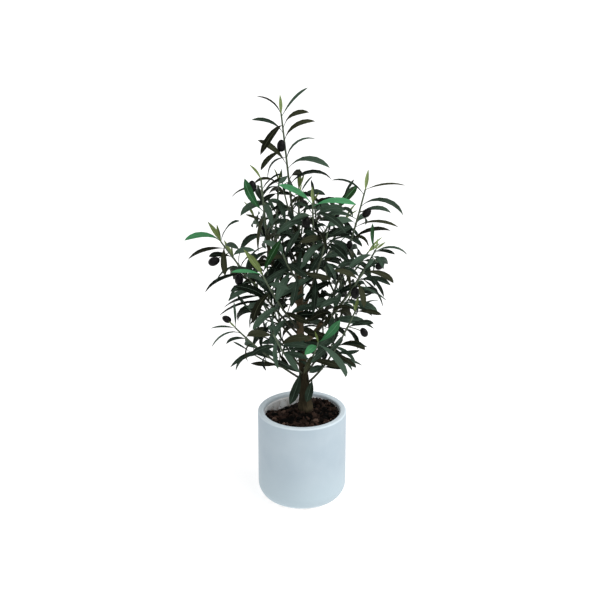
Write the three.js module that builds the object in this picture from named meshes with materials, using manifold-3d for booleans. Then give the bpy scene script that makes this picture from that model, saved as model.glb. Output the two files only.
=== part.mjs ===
// Artificial olive tree in a round pot, in millimetres, with +Z up.
// The origin is the centre of the pot's underside, and the picture looks along +Y.
import * as THREE from 'three';
import { mergeVertices } from 'three/addons/utils/BufferGeometryUtils.js';
import Module from 'manifold-3d';

const wasm = await Module();
wasm.setup();

// Driving sizes of the pot and its filling
const GAP = 0.3;
const POT_RADIUS = 82.5;
const POT_HEIGHT = 180;
const POT_WALL = 12;
const POT_FLOOR = 14;
const FOOT_ROUND = 33;
const LIP_ROUND = 3.5;
const LINER_LEDGE = 1.5;
const LEDGE_DROP = 7;
const ROUND_SIDES = 36;
const SEAT_HEIGHT = 177;
const SEAT_RADIUS = 18;
const SOIL_DROP = 4;
const SOIL_DIP = 24;
const SOIL_LOW_SIDE = 130;
const SOIL_LUMP = 1.1;

// Driving sizes of the trunk, from the soil to the cut where the stems come out
const TRUNK_X = 6.5;
const TRUNK_TOP = 407;
const TRUNK_RADII = [
  [0, 14.5], [0.07, 12.5], [0.2, 10.2], [0.38, 8.1], [0.55, 7.2], [0.64, 8], [0.72, 6.5], [1, 5.4],
];
const TRUNK_SIDES = 12;
const TRUNK_STEPS = 14;
const BOUGH_SIDES = 8;
const BOUGH_STEPS = 4;

// Driving sizes of stems, leaves and fruit
const STEM_RADII = [2.3, 1.5];
const TWIG_RADII = [1.8, 1.3];
const STEM_SIDES = 4;
const TWIG_LENGTH = 62;
const TWIG_RISE = 14;
const TWIG_SAG = 8.4;
const STEM_STEPS = 6;
const TWIG_STEPS = 3;
const LEAF_LENGTH = 72;
const LEAF_SLENDERNESS = 0.185;
const SHOWN_SLENDERNESS = 0.15;
const LEAF_OUTLINE = [[0, 0], [0.4, 0.85], [0.72, 0.9], [1, 0]];
const LEAF_KEEL = [0, 1.8, 1.2, 0];
const YOUNG_LENGTH = 38;
const YOUNG_SLENDERNESS = 0.18;
const ROOT_DEPTH = 1;
const OLIVE_RADIUS = 7.8;
const OLIVE_LENGTH = 22;
const STALK_RADII = [1.3, 1.3];
const SLIVER = 0.02;

// How leaves stand: the shares of the stem's direction, the sky and the side that a leaf's upper face
// turns to; a pair's angle from the stem at its foot and tip, its bend, its twist, and how much they vary
const FACE_SHARES = { stem: 0.5, sky: 0.35, side: 0.2 };
const PAIR_SPREAD = [64, 40];
const PAIR_BEND = 80;
const PAIR_TWIST = 0.8;
const PAIR_VARIES = { turn: 0.2, spread: 9, length: 0.12, bend: 26, roll: 0.4, twist: 0.4 };
const LAST_PAIR = { from: 0.85, scale: 0.82 };
const TWIG_PAIRS = { shares: [0.85, 0.5], scale: 0.85 };
const YOUNG_SCALES = [1, 0.75];
const YOUNG_LEANS = [0.05, 0.35];
const YOUNG_TURN = 1.5;
const YOUNG_ROLL = 0.8;
const YOUNG_BEND = 0.2;
const YOUNG_TWIST = 0.3;

// What changes with each further try to place a leaf or a twig
const RETRY = { turn: 0.8, spread: 3, length: 0.05, roll: 0.2, lean: 0.06, twigTurn: 0.9 };

// Side twigs: their start between the first leaves and a last share, and their way along and off the stem
const TWIG_STARTS = { last: 0.8, middle: 0.35, varies: 0.3 };
const TWIG_WAY = { along: 0.75, off: 0.66 };

// The highest share of a limb at which a stem or bough starts, below the limb's flat top
const START_LIMIT = 0.985;

// What is added to a spray's seed for its young leaves and its twigs
const TIP_STREAM = 500;
const TWIG_STREAM = 900;

// Limits of the growth rule: clearance to other sprays and to limbs, the zone round a leaf's own root,
// in which a young leaf counts as nearer, so that young leaves may stand close together, and the crown's
// top and floor; the floor rises by a share of the distance in front of the trunk
const CLEAR = 3.6;
const LIMB_CLEAR = 2;
const ROOT_ZONE = 13;
const YOUNG_NEARNESS = 0.4;
const SAMPLE = 2.5;
const TRIES = 7;
const CROWN_TOP = 799;
const CROWN_FLOOR = 256;
const FLOOR_RISE = 0.42;
const RIM_FLOOR = 186;

const COLOURS = {
  pot: [0xc6d4dc, 0.62],
  soil: [0x2a1c16, 0.95],
  bark: [0x3a2b20, 0.9],
  leaf: [0x23392a, 0.6],
};

const UP = new THREE.Vector3(0, 0, 1);
const AWAY = new THREE.Vector3(0, 1, 0);
const radians = THREE.MathUtils.degToRad;

// Each bough is one tapering limb: where it leaves the trunk, its elbow and tip, and its radii there
const BOUGHS = {
  bough_leader: { share: 1, elbow: [-3, 1, 436], tip: [-8, 5, 470], radii: [4.7, 3.1] },
  bough_left: { share: 0.94, elbow: [-27, -6, 418], tip: [-59, -12, 486], radii: [4.5, 2.8] },
  bough_middle: { share: 0.88, elbow: [9, -20, 402], tip: [22, -25, 452], radii: [4.3, 2.8] },
  bough_back: { share: 0.8, elbow: [-4, 30, 384], tip: [-12, 50, 442], radii: [4.6, 2.9] },
  bough_right: { share: 0.63, elbow: [20, -6, 326], tip: [36, -10, 362], radii: [6.4, 4.4] },
};

// Each spray: its limb and the share along it where its stem starts, the stem's tip, how far the stem
// sags below a straight line, its leaf pairs between the shares bare and reach, the turn of the first
// pair in degrees, its side twigs and its seed. Olives are a share, the fruit's offset from the stem and,
// where it doesn't hang upright at its full size, its lean to the right in degrees and its size.
// Shown leaves are those that stand out in the picture: a share, the leaf's tip, its bend in degrees,
// the twist that turns its face to the viewer, and its slenderness where it is broader than most.
// Young leaves that stand out are given by their tips; they start at the stem's tip.
const SPRAYS = [
  { name: 'spray_top', limb: 'bough_leader', share: 1, tip: [-37, 15, 748], sag: -12,
    pairs: 5, bare: 0.1, reach: 0.58, turn: 70, sideTwigs: 1, seed: 11,
    young: [[-39, 15, 783]],
    olives: [[0.79, -6, -6, -1]],
    shown: [[0.98, 10, 5, 798, 25, 0.1], [0.99, -80, 20, 778, 80, -0.4], [0.89, 12, -18, 760, 80, 0.6],
      [0.86, -89, 0, 741, 75, 0.3], [0.81, 23, 12, 735, 95, 0.4], [0.92, -73, -30, 687, 110, -0.1],
      [0.64, -78, -20, 711, 40, 0.9], [0.68, 24, 25, 699, 115, -0.3], [0.62, 48, -35, 665, 90, 0.2],
      [0.75, -74, 32, 638, 50, 1.1], [0.51, 53, 26, 622, 120, 0], [0.7, -62, 45, 620, 70, 0.5],
      [0.58, -41, -38, 637, 10, 0.6, 0.18], [0.09, -58, -40, 438, 105, 0.3]] },
  { name: 'spray_upper_left', limb: 'bough_left', share: 1, tip: [-72, -35, 645], sag: 14,
    pairs: 5, bare: 0.12, reach: 0.97, turn: 20, sideTwigs: 1, seed: 22,
    young: [[-92, -40, 673]],
    olives: [[0.92, -17, 4, -1]],
    shown: [[0.64, -100, -58, 654, -34, 1.2, 0.19], [0.91, -125, -20, 606, 65, -0.2],
      [0.6, -77, -66, 520, 115, -1], [0.53, -100, -40, 581, 10, 0.4]] },
  { name: 'spray_left_crest', limb: 'bough_left', share: 0.9, tip: [-42, 44, 610], sag: 6,
    pairs: 5, bare: 0.15, reach: 0.95, turn: 75, sideTwigs: 1, seed: 33,
    young: [[-50, 44, 638], [-38, 52, 632]],
    olives: [],
    shown: [[0.99, -89, 62, 599, 105, 0.5], [0.96, -74, 22, 581, 120, 0],
      [0.89, -78, -10, 588, 30, 1]] },
  { name: 'spray_centre', limb: 'bough_middle', share: 1, tip: [18, -45, 604], sag: 8,
    pairs: 5, bare: 0.12, reach: 0.9, turn: 20, sideTwigs: 1, seed: 44,
    young: [[17, -48, 636], [29, -40, 622]],
    olives: [[0.84, -12, -7, -8]],
    shown: [[0.98, -42, -66, 645, 40, 0.7], [0.96, 94, -60, 606, 62, 0.4],
      [0.88, 76, -85, 562, 85, 0.4], [0.86, -46, -85, 560, 45, 0.4]] },
  { name: 'spray_centre_left', limb: 'bough_leader', share: 0.5, tip: [-34, -84, 524], sag: 14,
    pairs: 5, bare: 0.3, reach: 0.96, turn: 35, sideTwigs: 1, seed: 57,
    olives: [],
    shown: [[0.52, -46, -95, 438, 50, 0.4, 0.2], [0.95, -70, -100, 554, 85, 0.8, 0.17]] },
  { name: 'spray_right_inner', limb: 'bough_middle', share: 0.78, tip: [44, -72, 560], sag: 10,
    pairs: 5, bare: 0.2, reach: 0.96, turn: 30, sideTwigs: 0, seed: 55,
    olives: [],
    shown: [[0.84, 81, -100, 513, 70, 0.7, 0.21], [0.82, 1, -90, 508, 120, 0.5, 0.18],
      [0.69, 15, -70, 485, 25, 0.3, 0.25], [0.26, -41, -80, 441, 45, 0.5],
      [0.25, 19, -80, 407, 120, 0.8]] },
  { name: 'spray_right_top', limb: 'bough_right', share: 1, tip: [111, -8, 616], sag: 34,
    pairs: 7, bare: 0.14, reach: 0.84, turn: 60, sideTwigs: 1, seed: 66,
    young: [[116, -8, 654]],
    olives: [[0.87, 13, -4, -1, 40, 0.9], [0.7, -4, -8, -10, 0, 0.75]],
    shown: [[1, 183, 0, 621, 45, -0.3], [0.9, 178, -24, 573, 120, 0.1], [0.86, 159, 18, 563, 75, 0.4],
      [0.97, 51, 5, 629, 80, -0.3], [0.77, 169, -45, 559, 60, -0.1], [0.69, 160, 20, 528, 70, 0],
      [0.82, 39, 35, 549, 60, 0.5], [0.7, 43, -50, 530, 50, -0.5], [0.35, 3, -60, 421, 105, 0.2],
      [0.24, 43, -70, 500, 45, 0.2], [0.27, 106, -60, 458, 10, 1.4]] },
  { name: 'spray_right_outer', limb: 'bough_right', share: 0.76, tip: [130, -38, 514], sag: 26,
    pairs: 5, bare: 0.2, reach: 0.9, turn: 40, sideTwigs: 1, seed: 77,
    young: [[132, -42, 537], [148, -30, 526]],
    olives: [[0.93, 15, -4, -14, 50, 0.85]],
    shown: [[0.98, 187, -30, 501, 95, -0.3], [0.97, 163, -66, 516, 60, 0.6],
      [0.98, 122, -64, 574, -15, 1.1], [0.95, 80, -85, 497, 65, 0.3], [0.9, 142, -80, 493, 120, 0.3]] },
  { name: 'spray_right_middle', limb: 'bough_right', share: 0.58, tip: [108, -92, 496], sag: 20,
    pairs: 5, bare: 0.2, reach: 0.96, turn: 15, sideTwigs: 0, seed: 88,
    olives: [[0.78, 4, -8, -5]],
    shown: [[0.98, 160, -84, 469, 90, 1, 0.16], [0.83, 150, -60, 426, 25, -0.4],
      [0.86, 108, -110, 433, 75, 0.5, 0.2], [1, 143, -100, 449, 45, 0],
      [0.92, 142, -95, 428, 65, -0.6]] },
  { name: 'spray_upper_right', limb: 'bough_leader', share: 0.84, tip: [74, 50, 582], sag: 20,
    pairs: 6, bare: 0.15, reach: 0.92, turn: 35, sideTwigs: 1, seed: 99,
    olives: [[0.86, -2, 9, -9]],
    shown: [[0.84, 101, 95, 588, 30, 0.4, 0.2], [0.84, 51, 80, 566, 10, 0.8, 0.2]] },
  { name: 'spray_left_outer', limb: 'trunk', share: 0.66, tip: [-144, -30, 526], sag: 12,
    pairs: 8, bare: 0.24, reach: 0.9, turn: 55, sideTwigs: 1, seed: 111,
    young: [[-167, -36, 567], [-151, -26, 558]],
    olives: [[0.9, -27, -6, -14, 65, 1], [0.76, -3, -7, -20]],
    shown: [[1, -208, -45, 534, 90, 0.6], [1, -111, 0, 554, 100, -1.2], [0.94, -206, 0, 480, 55, 0],
      [0.96, -136, -66, 475, 40, 0.5, 0.2], [0.7, -176, -10, 420, 60, -0.1],
      [0.96, -110, -85, 533, 50, 0.3], [0.47, -145, 20, 377, 45, -0.3], [0.4, -151, -20, 379, 60, -0.5],
      [0.61, -130, -50, 419, 105, -0.2], [0.38, -123, -60, 454, 50, 1.4]] },
  { name: 'spray_left_inner', limb: 'trunk', share: 0.72, tip: [-70, -95, 490], sag: 18,
    pairs: 6, bare: 0.25, reach: 0.92, turn: 36, sideTwigs: 0, seed: 122,
    young: [[-102, -99, 539], [-86, -92, 525]],
    olives: [],
    shown: [[1, -37, -118, 563, 10, 0.8], [1, -123, -130, 508, 25, 0],
      [0.95, -128, -90, 497, 80, 0.1]] },
  { name: 'spray_left_low', limb: 'trunk', share: 0.27, tip: [-120, -58, 372], sag: 14,
    pairs: 6, bare: 0.28, reach: 0.9, turn: 40, sideTwigs: 1, seed: 133,
    young: [[-132, -60, 386]],
    olives: [[0.97, -19, 2, 20, -60, 0.8]],
    shown: [[0.99, -165, -50, 367, 55, -0.4], [0.91, -162, -84, 345, 105, -0.5],
      [0.82, -138, -38, 330, 105, 0.2], [0.58, -130, -72, 300, 120, -0.5],
      [0.37, -94, -42, 294, 60, 0.1], [1, -121, -70, 428, -10, 0.1]] },
  { name: 'spray_left_fore', limb: 'trunk', share: 0.33, tip: [-51, -118, 386], sag: 22,
    pairs: 4, bare: 0.52, reach: 0.95, turn: 0, sideTwigs: 0, seed: 144,
    olives: [], shown: [[0.12, -23, -34, 206, -45, 0.4, 0.25]] },
  { name: 'spray_right_low', limb: 'trunk', share: 0.23, tip: [94, -68, 408], sag: 38,
    pairs: 6, bare: 0.3, reach: 0.9, turn: 95, sideTwigs: 1, seed: 155,
    young: [[100, -66, 439], [89, -72, 426]],
    olives: [[0.86, 29, -6, -8, -30, 0.85]],
    shown: [[1, 142, -60, 398, 40, 0.9, 0.17], [0.91, 127, -92, 385, 55, -0.2],
      [1, 136, -40, 417, 85, -0.7], [0.66, 118, -60, 334, 60, -0.3], [0.59, 104, -52, 325, -40, 0.9],
      [0.55, 110, -36, 287, 20, -0.3], [0.16, 8, -27, 208, 30, 0.2, 0.32],
      [0.4, 12, -75, 291, 20, 0.4, 0.22], [0.36, 76, -70, 296, 30, 0.4, 0.22],
      [1, 53, -70, 410, 120, 0.6]] },
  { name: 'spray_front', limb: 'trunk', share: 0.38, tip: [28, -108, 366], sag: 22,
    pairs: 3, bare: 0.45, reach: 0.9, turn: 0, sideTwigs: 0, seed: 166,
    young: [[22, -112, 389]],
    olives: [],
    shown: [[0.99, 65, -150, 427, -20, 1.2, 0.17], [0.93, 4, -150, 361, 40, 0.4, 0.24],
      [0.96, 77, -110, 299, 110, 1.4], [0.72, -54, -60, 318, 65, -0.3]] },
  { name: 'spray_left_back', limb: 'trunk', share: 0.58, tip: [-126, 66, 458], sag: 24,
    pairs: 6, bare: 0.25, reach: 0.96, turn: 65, sideTwigs: 1, seed: 188,
    olives: [[0.9, -8, 6, -10]], shown: [] },
  { name: 'spray_right_back', limb: 'trunk', share: 0.76, tip: [122, 70, 468], sag: 26,
    pairs: 6, bare: 0.25, reach: 0.96, turn: 15, sideTwigs: 1, seed: 199,
    olives: [[0.6, 4, 9, -12]], shown: [] },
  { name: 'spray_back_low_left', limb: 'trunk', share: 0.36, tip: [-82, 112, 368], sag: 24,
    pairs: 6, bare: 0.3, reach: 0.96, turn: 45, sideTwigs: 1, seed: 211,
    olives: [], shown: [] },
  { name: 'spray_back_low_right', limb: 'trunk', share: 0.31, tip: [88, 100, 362], sag: 24,
    pairs: 6, bare: 0.3, reach: 0.96, turn: 75, sideTwigs: 1, seed: 222,
    olives: [[0.9, 4, 9, -8]], shown: [] },
  { name: 'spray_back_low', limb: 'trunk', share: 0.48, tip: [2, 146, 440], sag: 30,
    pairs: 6, bare: 0.3, reach: 0.96, turn: 20, sideTwigs: 1, seed: 233,
    olives: [], shown: [] },
  { name: 'spray_back_left', limb: 'bough_back', share: 1, tip: [-88, 108, 520], sag: 24,
    pairs: 6, bare: 0.15, reach: 0.96, turn: 30, sideTwigs: 1, seed: 244,
    olives: [[0.9, 9, 8, -12]], shown: [] },
  { name: 'spray_back_middle', limb: 'bough_back', share: 0.9, tip: [-6, 130, 540], sag: 24,
    pairs: 6, bare: 0.15, reach: 0.96, turn: 60, sideTwigs: 1, seed: 255,
    olives: [], shown: [] },
  { name: 'spray_back_right', limb: 'bough_back', share: 0.8, tip: [80, 118, 514], sag: 24,
    pairs: 6, bare: 0.15, reach: 0.96, turn: 45, sideTwigs: 1, seed: 266,
    olives: [], shown: [] },
  { name: 'spray_back_high', limb: 'bough_leader', share: 0.62, tip: [-6, 66, 592], sag: 16,
    pairs: 5, bare: 0.2, reach: 0.96, turn: 25, sideTwigs: 1, seed: 277,
    olives: [[0.88, 3, 9, -6]], shown: [] },
];

// A repeatable stream of random numbers from -1 to 1
function randomFrom(seed) {
  let state = seed;
  for (let i = 0; i < 3; i++) state = (state * 48271) % 2147483647;
  return () => {
    state = (state * 48271) % 2147483647;
    return (2 * state) / 2147483647 - 1;
  };
}

function mix(a, b, share) {
  return a + (b - a) * share;
}

// Reads a value at a share from a list of [share, value] pairs
function profileAt(profile, share) {
  const next = Math.max(1, profile.findIndex(([at]) => at >= share));
  const [fromAt, from] = profile[next - 1];
  const [toAt, to] = profile[next];
  return mix(from, to, (share - fromAt) / (toAt - fromAt));
}

function vector([x, y, z]) {
  return new THREE.Vector3(x, y, z);
}

// Two directions square to a curve: across the picture, and away from its viewer
function across(tangent) {
  const side = new THREE.Vector3().crossVectors(AWAY, tangent).normalize();
  return [side, new THREE.Vector3().crossVectors(tangent, side)];
}

// Closed geometry with shared vertices, without the triangles that close up at a pole
function closed(geometry) {
  geometry.deleteAttribute('normal');
  geometry.deleteAttribute('uv');
  const merged = mergeVertices(geometry, 1e-4);
  const index = merged.index.array;
  const kept = [];
  for (let i = 0; i < index.length; i += 3) {
    const [a, b, c] = index.slice(i, i + 3);
    if (a !== b && b !== c && c !== a) kept.push(a, b, c);
  }
  merged.setIndex(kept);
  return merged;
}

function toSolid(geometry) {
  const source = closed(geometry);
  return new wasm.Manifold(new wasm.Mesh({
    numProp: 3,
    vertProperties: new Float32Array(source.attributes.position.array),
    triVerts: new Uint32Array(source.index.array),
  }));
}

// The largest outer body of a solid: loose scraps are dropped and sealed hollows are filled
function mainBody(solid) {
  const bodies = solid.decompose().sort((a, b) => b.volume() - a.volume());
  return bodies[0];
}

function toGeometry(solid) {
  const mesh = solid.getMesh();
  const geometry = new THREE.BufferGeometry();
  geometry.setAttribute('position', new THREE.BufferAttribute(mesh.vertProperties, 3));
  geometry.setIndex(new THREE.BufferAttribute(mesh.triVerts, 1));
  geometry.computeVertexNormals();
  return geometry;
}

// Moves each vertex of a geometry by a function of its place
function reshape(geometry, place) {
  const position = geometry.attributes.position;
  const at = new THREE.Vector3();
  for (let i = 0; i < position.count; i++) {
    at.fromBufferAttribute(position, i);
    const to = place(at);
    position.setXYZ(i, to.x, to.y, to.z);
  }
  return geometry;
}

// A cylinder laid along a curve, with a radius that changes along it and round it, turned on its axis;
// extra enlarges it all round and at both ends
function limbGeometry({ curve, radiusAt, sides, steps, turn = 0 }, extra) {
  return reshape(new THREE.CylinderGeometry(1, 1, 1, sides, steps).rotateY(turn), (at) => {
    const share = at.y + 0.5;
    const tangent = curve.getTangent(share);
    const [side] = across(tangent);
    const front = new THREE.Vector3().crossVectors(side, tangent);
    const radius = radiusAt(share, Math.atan2(at.z, at.x)) + extra;
    const past = extra * (Number(share === 1) - Number(share === 0));
    return curve.getPoint(share)
      .addScaledVector(tangent, past)
      .addScaledVector(side, at.x * radius)
      .addScaledVector(front, at.z * radius);
  });
}

function arcPoints(x, y, radius, from, to, steps) {
  return new THREE.EllipseCurve(x, y, radius, radius, from, to, from > to).getPoints(steps);
}

// Round pot, turned from one outline: rounded foot, straight side, rounded lip and a liner's ledge
function potGeometry() {
  const inner = POT_RADIUS - POT_WALL;
  const lipHeight = POT_HEIGHT - LIP_ROUND;
  const outline = [
    new THREE.Vector2(0, 0),
    ...arcPoints(POT_RADIUS - FOOT_ROUND, FOOT_ROUND, FOOT_ROUND, -Math.PI / 2, 0, 5),
    ...arcPoints(POT_RADIUS - LIP_ROUND, lipHeight, LIP_ROUND, 0, Math.PI / 2, 2),
    ...arcPoints(inner + LIP_ROUND, lipHeight, LIP_ROUND, Math.PI / 2, Math.PI, 2),
    new THREE.Vector2(inner, POT_HEIGHT - LEDGE_DROP),
    new THREE.Vector2(inner - LINER_LEDGE, POT_HEIGHT - LEDGE_DROP - LINER_LEDGE),
    new THREE.Vector2(inner - LINER_LEDGE, POT_FLOOR),
    new THREE.Vector2(0, POT_FLOOR),
  ];
  return new THREE.LatheGeometry(outline, ROUND_SIDES).rotateX(Math.PI / 2);
}

// How high the filling stands at a place: level on the trunk's seat, with a dip at the back left
function soilHeight(x, y) {
  const reach = Math.hypot(x - TRUNK_X, y);
  const turn = Math.atan2(y, x - TRUNK_X) - radians(SOIL_LOW_SIDE);
  const drop = SOIL_DROP + SOIL_DIP * Math.max(0, Math.cos(turn)) ** 4;
  const slope = THREE.MathUtils.smoothstep(reach, SEAT_RADIUS, POT_RADIUS - POT_WALL - 4);
  const lumps = SOIL_LUMP * Math.sin(0.31 * x + 1) * Math.cos(0.27 * y + 0.4);
  return SEAT_HEIGHT - slope * drop + Math.min(1, slope * 8) * lumps;
}

function soilGeometry() {
  const bottom = POT_FLOOR + GAP;
  const radius = POT_RADIUS - POT_WALL - LINER_LEDGE - GAP;
  const ringRadii = [60, 48, 37, 27, SEAT_RADIUS, 0];
  const outline = [[0, bottom], [radius, bottom], [radius, SEAT_HEIGHT]];
  ringRadii.forEach((ring) => outline.push([ring, SEAT_HEIGHT]));
  const turned = new THREE.LatheGeometry(outline.map(([x, y]) => new THREE.Vector2(x, y)), ROUND_SIDES);
  return reshape(turned.rotateX(Math.PI / 2), (at) => {
    if (at.z < SEAT_HEIGHT - 1) return at.clone();
    const x = at.x + TRUNK_X * (1 - Math.hypot(at.x, at.y) / radius);
    return new THREE.Vector3(x, at.y, soilHeight(x, at.y));
  });
}

const trunkCurve = new THREE.CubicBezierCurve3(
  new THREE.Vector3(TRUNK_X, 0, SEAT_HEIGHT + GAP),
  new THREE.Vector3(TRUNK_X, 0, mix(SEAT_HEIGHT + GAP, TRUNK_TOP, 1 / 3)),
  new THREE.Vector3(-8, -2, mix(SEAT_HEIGHT + GAP, TRUNK_TOP, 2 / 3)),
  new THREE.Vector3(-3.9, 0, TRUNK_TOP),
);

// Trunk radius: the flare has three low lobes that fade upwards
function trunkRadius(share, turn) {
  const lobes = 0.07 * Math.max(0, 1 - share / 0.2) * Math.cos(3 * turn + 0.6);
  return profileAt(TRUNK_RADII, share) * (1 + lobes);
}

// Every limb as a curve and a radius along it
const limbs = {
  trunk: { curve: trunkCurve, radiusAt: trunkRadius, sides: TRUNK_SIDES, steps: TRUNK_STEPS },
};
for (const [name, { share, elbow, tip, radii }] of Object.entries(BOUGHS)) {
  const start = trunkCurve.getPoint(Math.min(share, START_LIMIT));
  limbs[name] = {
    curve: new THREE.QuadraticBezierCurve3(start, vector(elbow), vector(tip)),
    radiusAt: (at) => mix(radii[0], radii[1], at),
    sides: BOUGH_SIDES,
    steps: BOUGH_STEPS,
  };
}

function limbSolid(limb, extra = 0) {
  return toSolid(limbGeometry(limb, extra));
}

// Places already taken, as boxes with sample points; a point's reach is its distance from the root
const taken = [];

function take(owner, points) {
  const box = new THREE.Box3().setFromPoints(points.map(({ at }) => at)).expandByScalar(CLEAR);
  taken.push({ owner, points, box });
}

function isFree(owner, points) {
  const box = new THREE.Box3().setFromPoints(points.map(({ at }) => at));
  const meets = (other) => other.points.some((q) => points.some((p) => {
    if (other.owner === owner && (p.reach < ROOT_ZONE || q.reach < ROOT_ZONE)) return false;
    return p.at.distanceToSquared(q.at) < CLEAR * CLEAR;
  }));
  return !taken.some((other) => other.box.intersectsBox(box) && meets(other));
}

const limbSamples = Object.values(limbs).flatMap(({ curve, radiusAt, steps }) => (
  curve.getPoints(2 * steps).map((at, i) => ({ at, radius: radiusAt(i / (2 * steps), 0) + LIMB_CLEAR }))
));

function clearsLimbs(points) {
  return points.every((p) => p.reach < ROOT_ZONE
    || limbSamples.every(({ at, radius }) => p.at.distanceTo(at) > radius));
}

function insideCrown(points, floor, rise) {
  return points.every(({ at }) => at.z + rise * at.y > floor && at.z < CROWN_TOP);
}

// A leaf is an arc that starts along a direction and bends away from its upper face
function leafAt(leaf, share) {
  const { root, along, face, length, bend } = leaf;
  const radius = length / bend;
  return root.clone()
    .addScaledVector(along, radius * Math.sin(bend * share))
    .addScaledVector(face, -radius * (1 - Math.cos(bend * share)));
}

// The blade's direction across itself and its upper face, at a share of its length; the twist grows
// along the blade
function leafFrame({ along, face, bend, twist }, share) {
  const turn = twist * share * (2 - share);
  const side = new THREE.Vector3().crossVectors(along, face);
  const upper = face.clone().multiplyScalar(Math.cos(bend * share))
    .addScaledVector(along, Math.sin(bend * share));
  return [
    side.clone().multiplyScalar(Math.cos(turn)).addScaledVector(upper, Math.sin(turn)),
    upper.clone().multiplyScalar(Math.cos(turn)).addScaledVector(side, -Math.sin(turn)),
  ];
}

function leafPoints(leaf) {
  const points = [];
  const { length, nearness = 1 } = leaf;
  const steps = Math.ceil(length / SAMPLE);
  for (let i = 1; i <= steps; i++) {
    const share = i / steps;
    const [side] = leafFrame(leaf, share);
    const half = 0.5 * leaf.width * profileAt(LEAF_OUTLINE, share);
    const columns = Math.ceil(half / SAMPLE);
    for (let column = -columns; column <= columns; column++) {
      const at = leafAt(leaf, share).addScaledVector(side, columns ? (half * column) / columns : 0);
      points.push({ at, reach: share * length * nearness });
    }
  }
  return points;
}

// A three-sided sphere drawn out along the leaf's arc: flat above, with a low keel below
function leafSolid(leaf) {
  const root = leaf.root.clone().addScaledVector(leaf.along, -ROOT_DEPTH);
  const sunk = { ...leaf, root, length: leaf.length + ROOT_DEPTH };
  const steps = LEAF_OUTLINE.length - 1;
  return toSolid(reshape(new THREE.SphereGeometry(1, 3, steps), (at) => {
    const ring = Math.round((1 - Math.acos(at.y) / Math.PI) * steps);
    const [share, width] = LEAF_OUTLINE[ring];
    const girth = Math.sin((Math.PI * ring) / steps) || 1;
    const [side, upper] = leafFrame(leaf, share);
    return leafAt(sunk, share)
      .addScaledVector(side, (-at.z / girth / Math.sin(Math.PI / 3)) * 0.5 * leaf.width * width)
      .addScaledVector(upper, (-LEAF_KEEL[ring] * (0.5 - at.x / girth)) / 1.5);
  }));
}

// Samples along a stem or twig
function stemPoints(curve, length) {
  const steps = Math.ceil(length / SAMPLE);
  return curve.getPoints(steps).map((at, i) => ({ at, reach: (i / steps) * length + 2 * CLEAR }));
}

function outward({ x, y }) {
  return new THREE.Vector3(x, y, 0).normalize();
}

// A leaf from a root along a direction; it bends away from the stem's tip and the sky, and its blade
// is twisted about its own length so that the upper face turns to a given side
function grownLeaf(root, along, tangent, roll, size, bend, towards, twist) {
  const face = tangent.clone().multiplyScalar(FACE_SHARES.stem)
    .addScaledVector(UP, FACE_SHARES.sky).addScaledVector(towards, FACE_SHARES.side);
  face.addScaledVector(along, -face.dot(along)).normalize();
  face.applyAxisAngle(along, roll);
  const side = new THREE.Vector3().crossVectors(along, face);
  return { root, along, face, bend, ...size, twist: -Math.sign(side.dot(towards)) * twist };
}

// A leaf from a root to a tip that the picture shows
function shownLeaf(root, tip, bend, tangent, roll, twist, slenderness) {
  const chord = tip.clone().sub(root);
  const length = (chord.length() * bend) / (2 * Math.sin(bend / 2));
  const way = chord.normalize();
  const size = { length, width: length * slenderness };
  const leaf = grownLeaf(root, way, tangent, roll, size, bend, AWAY.clone().negate(), twist);
  const [cos, sin] = [Math.cos(bend / 2), Math.sin(bend / 2)];
  const along = way.clone().multiplyScalar(cos).addScaledVector(leaf.face, sin);
  const face = leaf.face.clone().multiplyScalar(cos).addScaledVector(way, -sin);
  return { ...leaf, along, face };
}

// Adds the first variant of a leaf that keeps to free space, or none
function placeLeaf(spray, makeVariant, floor = CROWN_FLOOR, rise = FLOOR_RISE) {
  for (let attempt = 0; attempt < TRIES; attempt++) {
    const leaf = makeVariant(attempt);
    const points = leafPoints(leaf);
    if (insideCrown(points, floor, rise) && clearsLimbs(points) && isFree(spray.name, points)) {
      take(spray.name, points);
      spray.leaves.push(leaf);
      return;
    }
  }
}

// A pair of leaves on opposite sides of a stem
function placePair(spray, curve, share, turn, random, scale) {
  const root = curve.getPoint(share);
  const tangent = curve.getTangent(share);
  const [side, away] = across(tangent);
  for (const half of [0, Math.PI]) {
    const vary = {};
    for (const [what, range] of Object.entries(PAIR_VARIES)) vary[what] = range * random();
    placeLeaf(spray, (attempt) => {
      const swing = vary.turn * (1 + RETRY.turn * attempt) * (attempt % 2 ? -1 : 1);
      const angle = turn + half + swing;
      const spread = radians(mix(...PAIR_SPREAD, share) + vary.spread - RETRY.spread * attempt);
      const along = tangent.clone().multiplyScalar(Math.cos(spread))
        .addScaledVector(side, Math.sin(spread) * Math.cos(angle))
        .addScaledVector(away, Math.sin(spread) * Math.sin(angle));
      const length = LEAF_LENGTH * scale * (1 + vary.length) * (1 - RETRY.length * attempt);
      const size = { length, width: length * LEAF_SLENDERNESS };
      const bend = radians(PAIR_BEND + vary.bend);
      const twist = PAIR_TWIST + vary.twist;
      return grownLeaf(root, along, tangent, vary.roll, size, bend, outward(root), twist);
    });
  }
}

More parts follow.
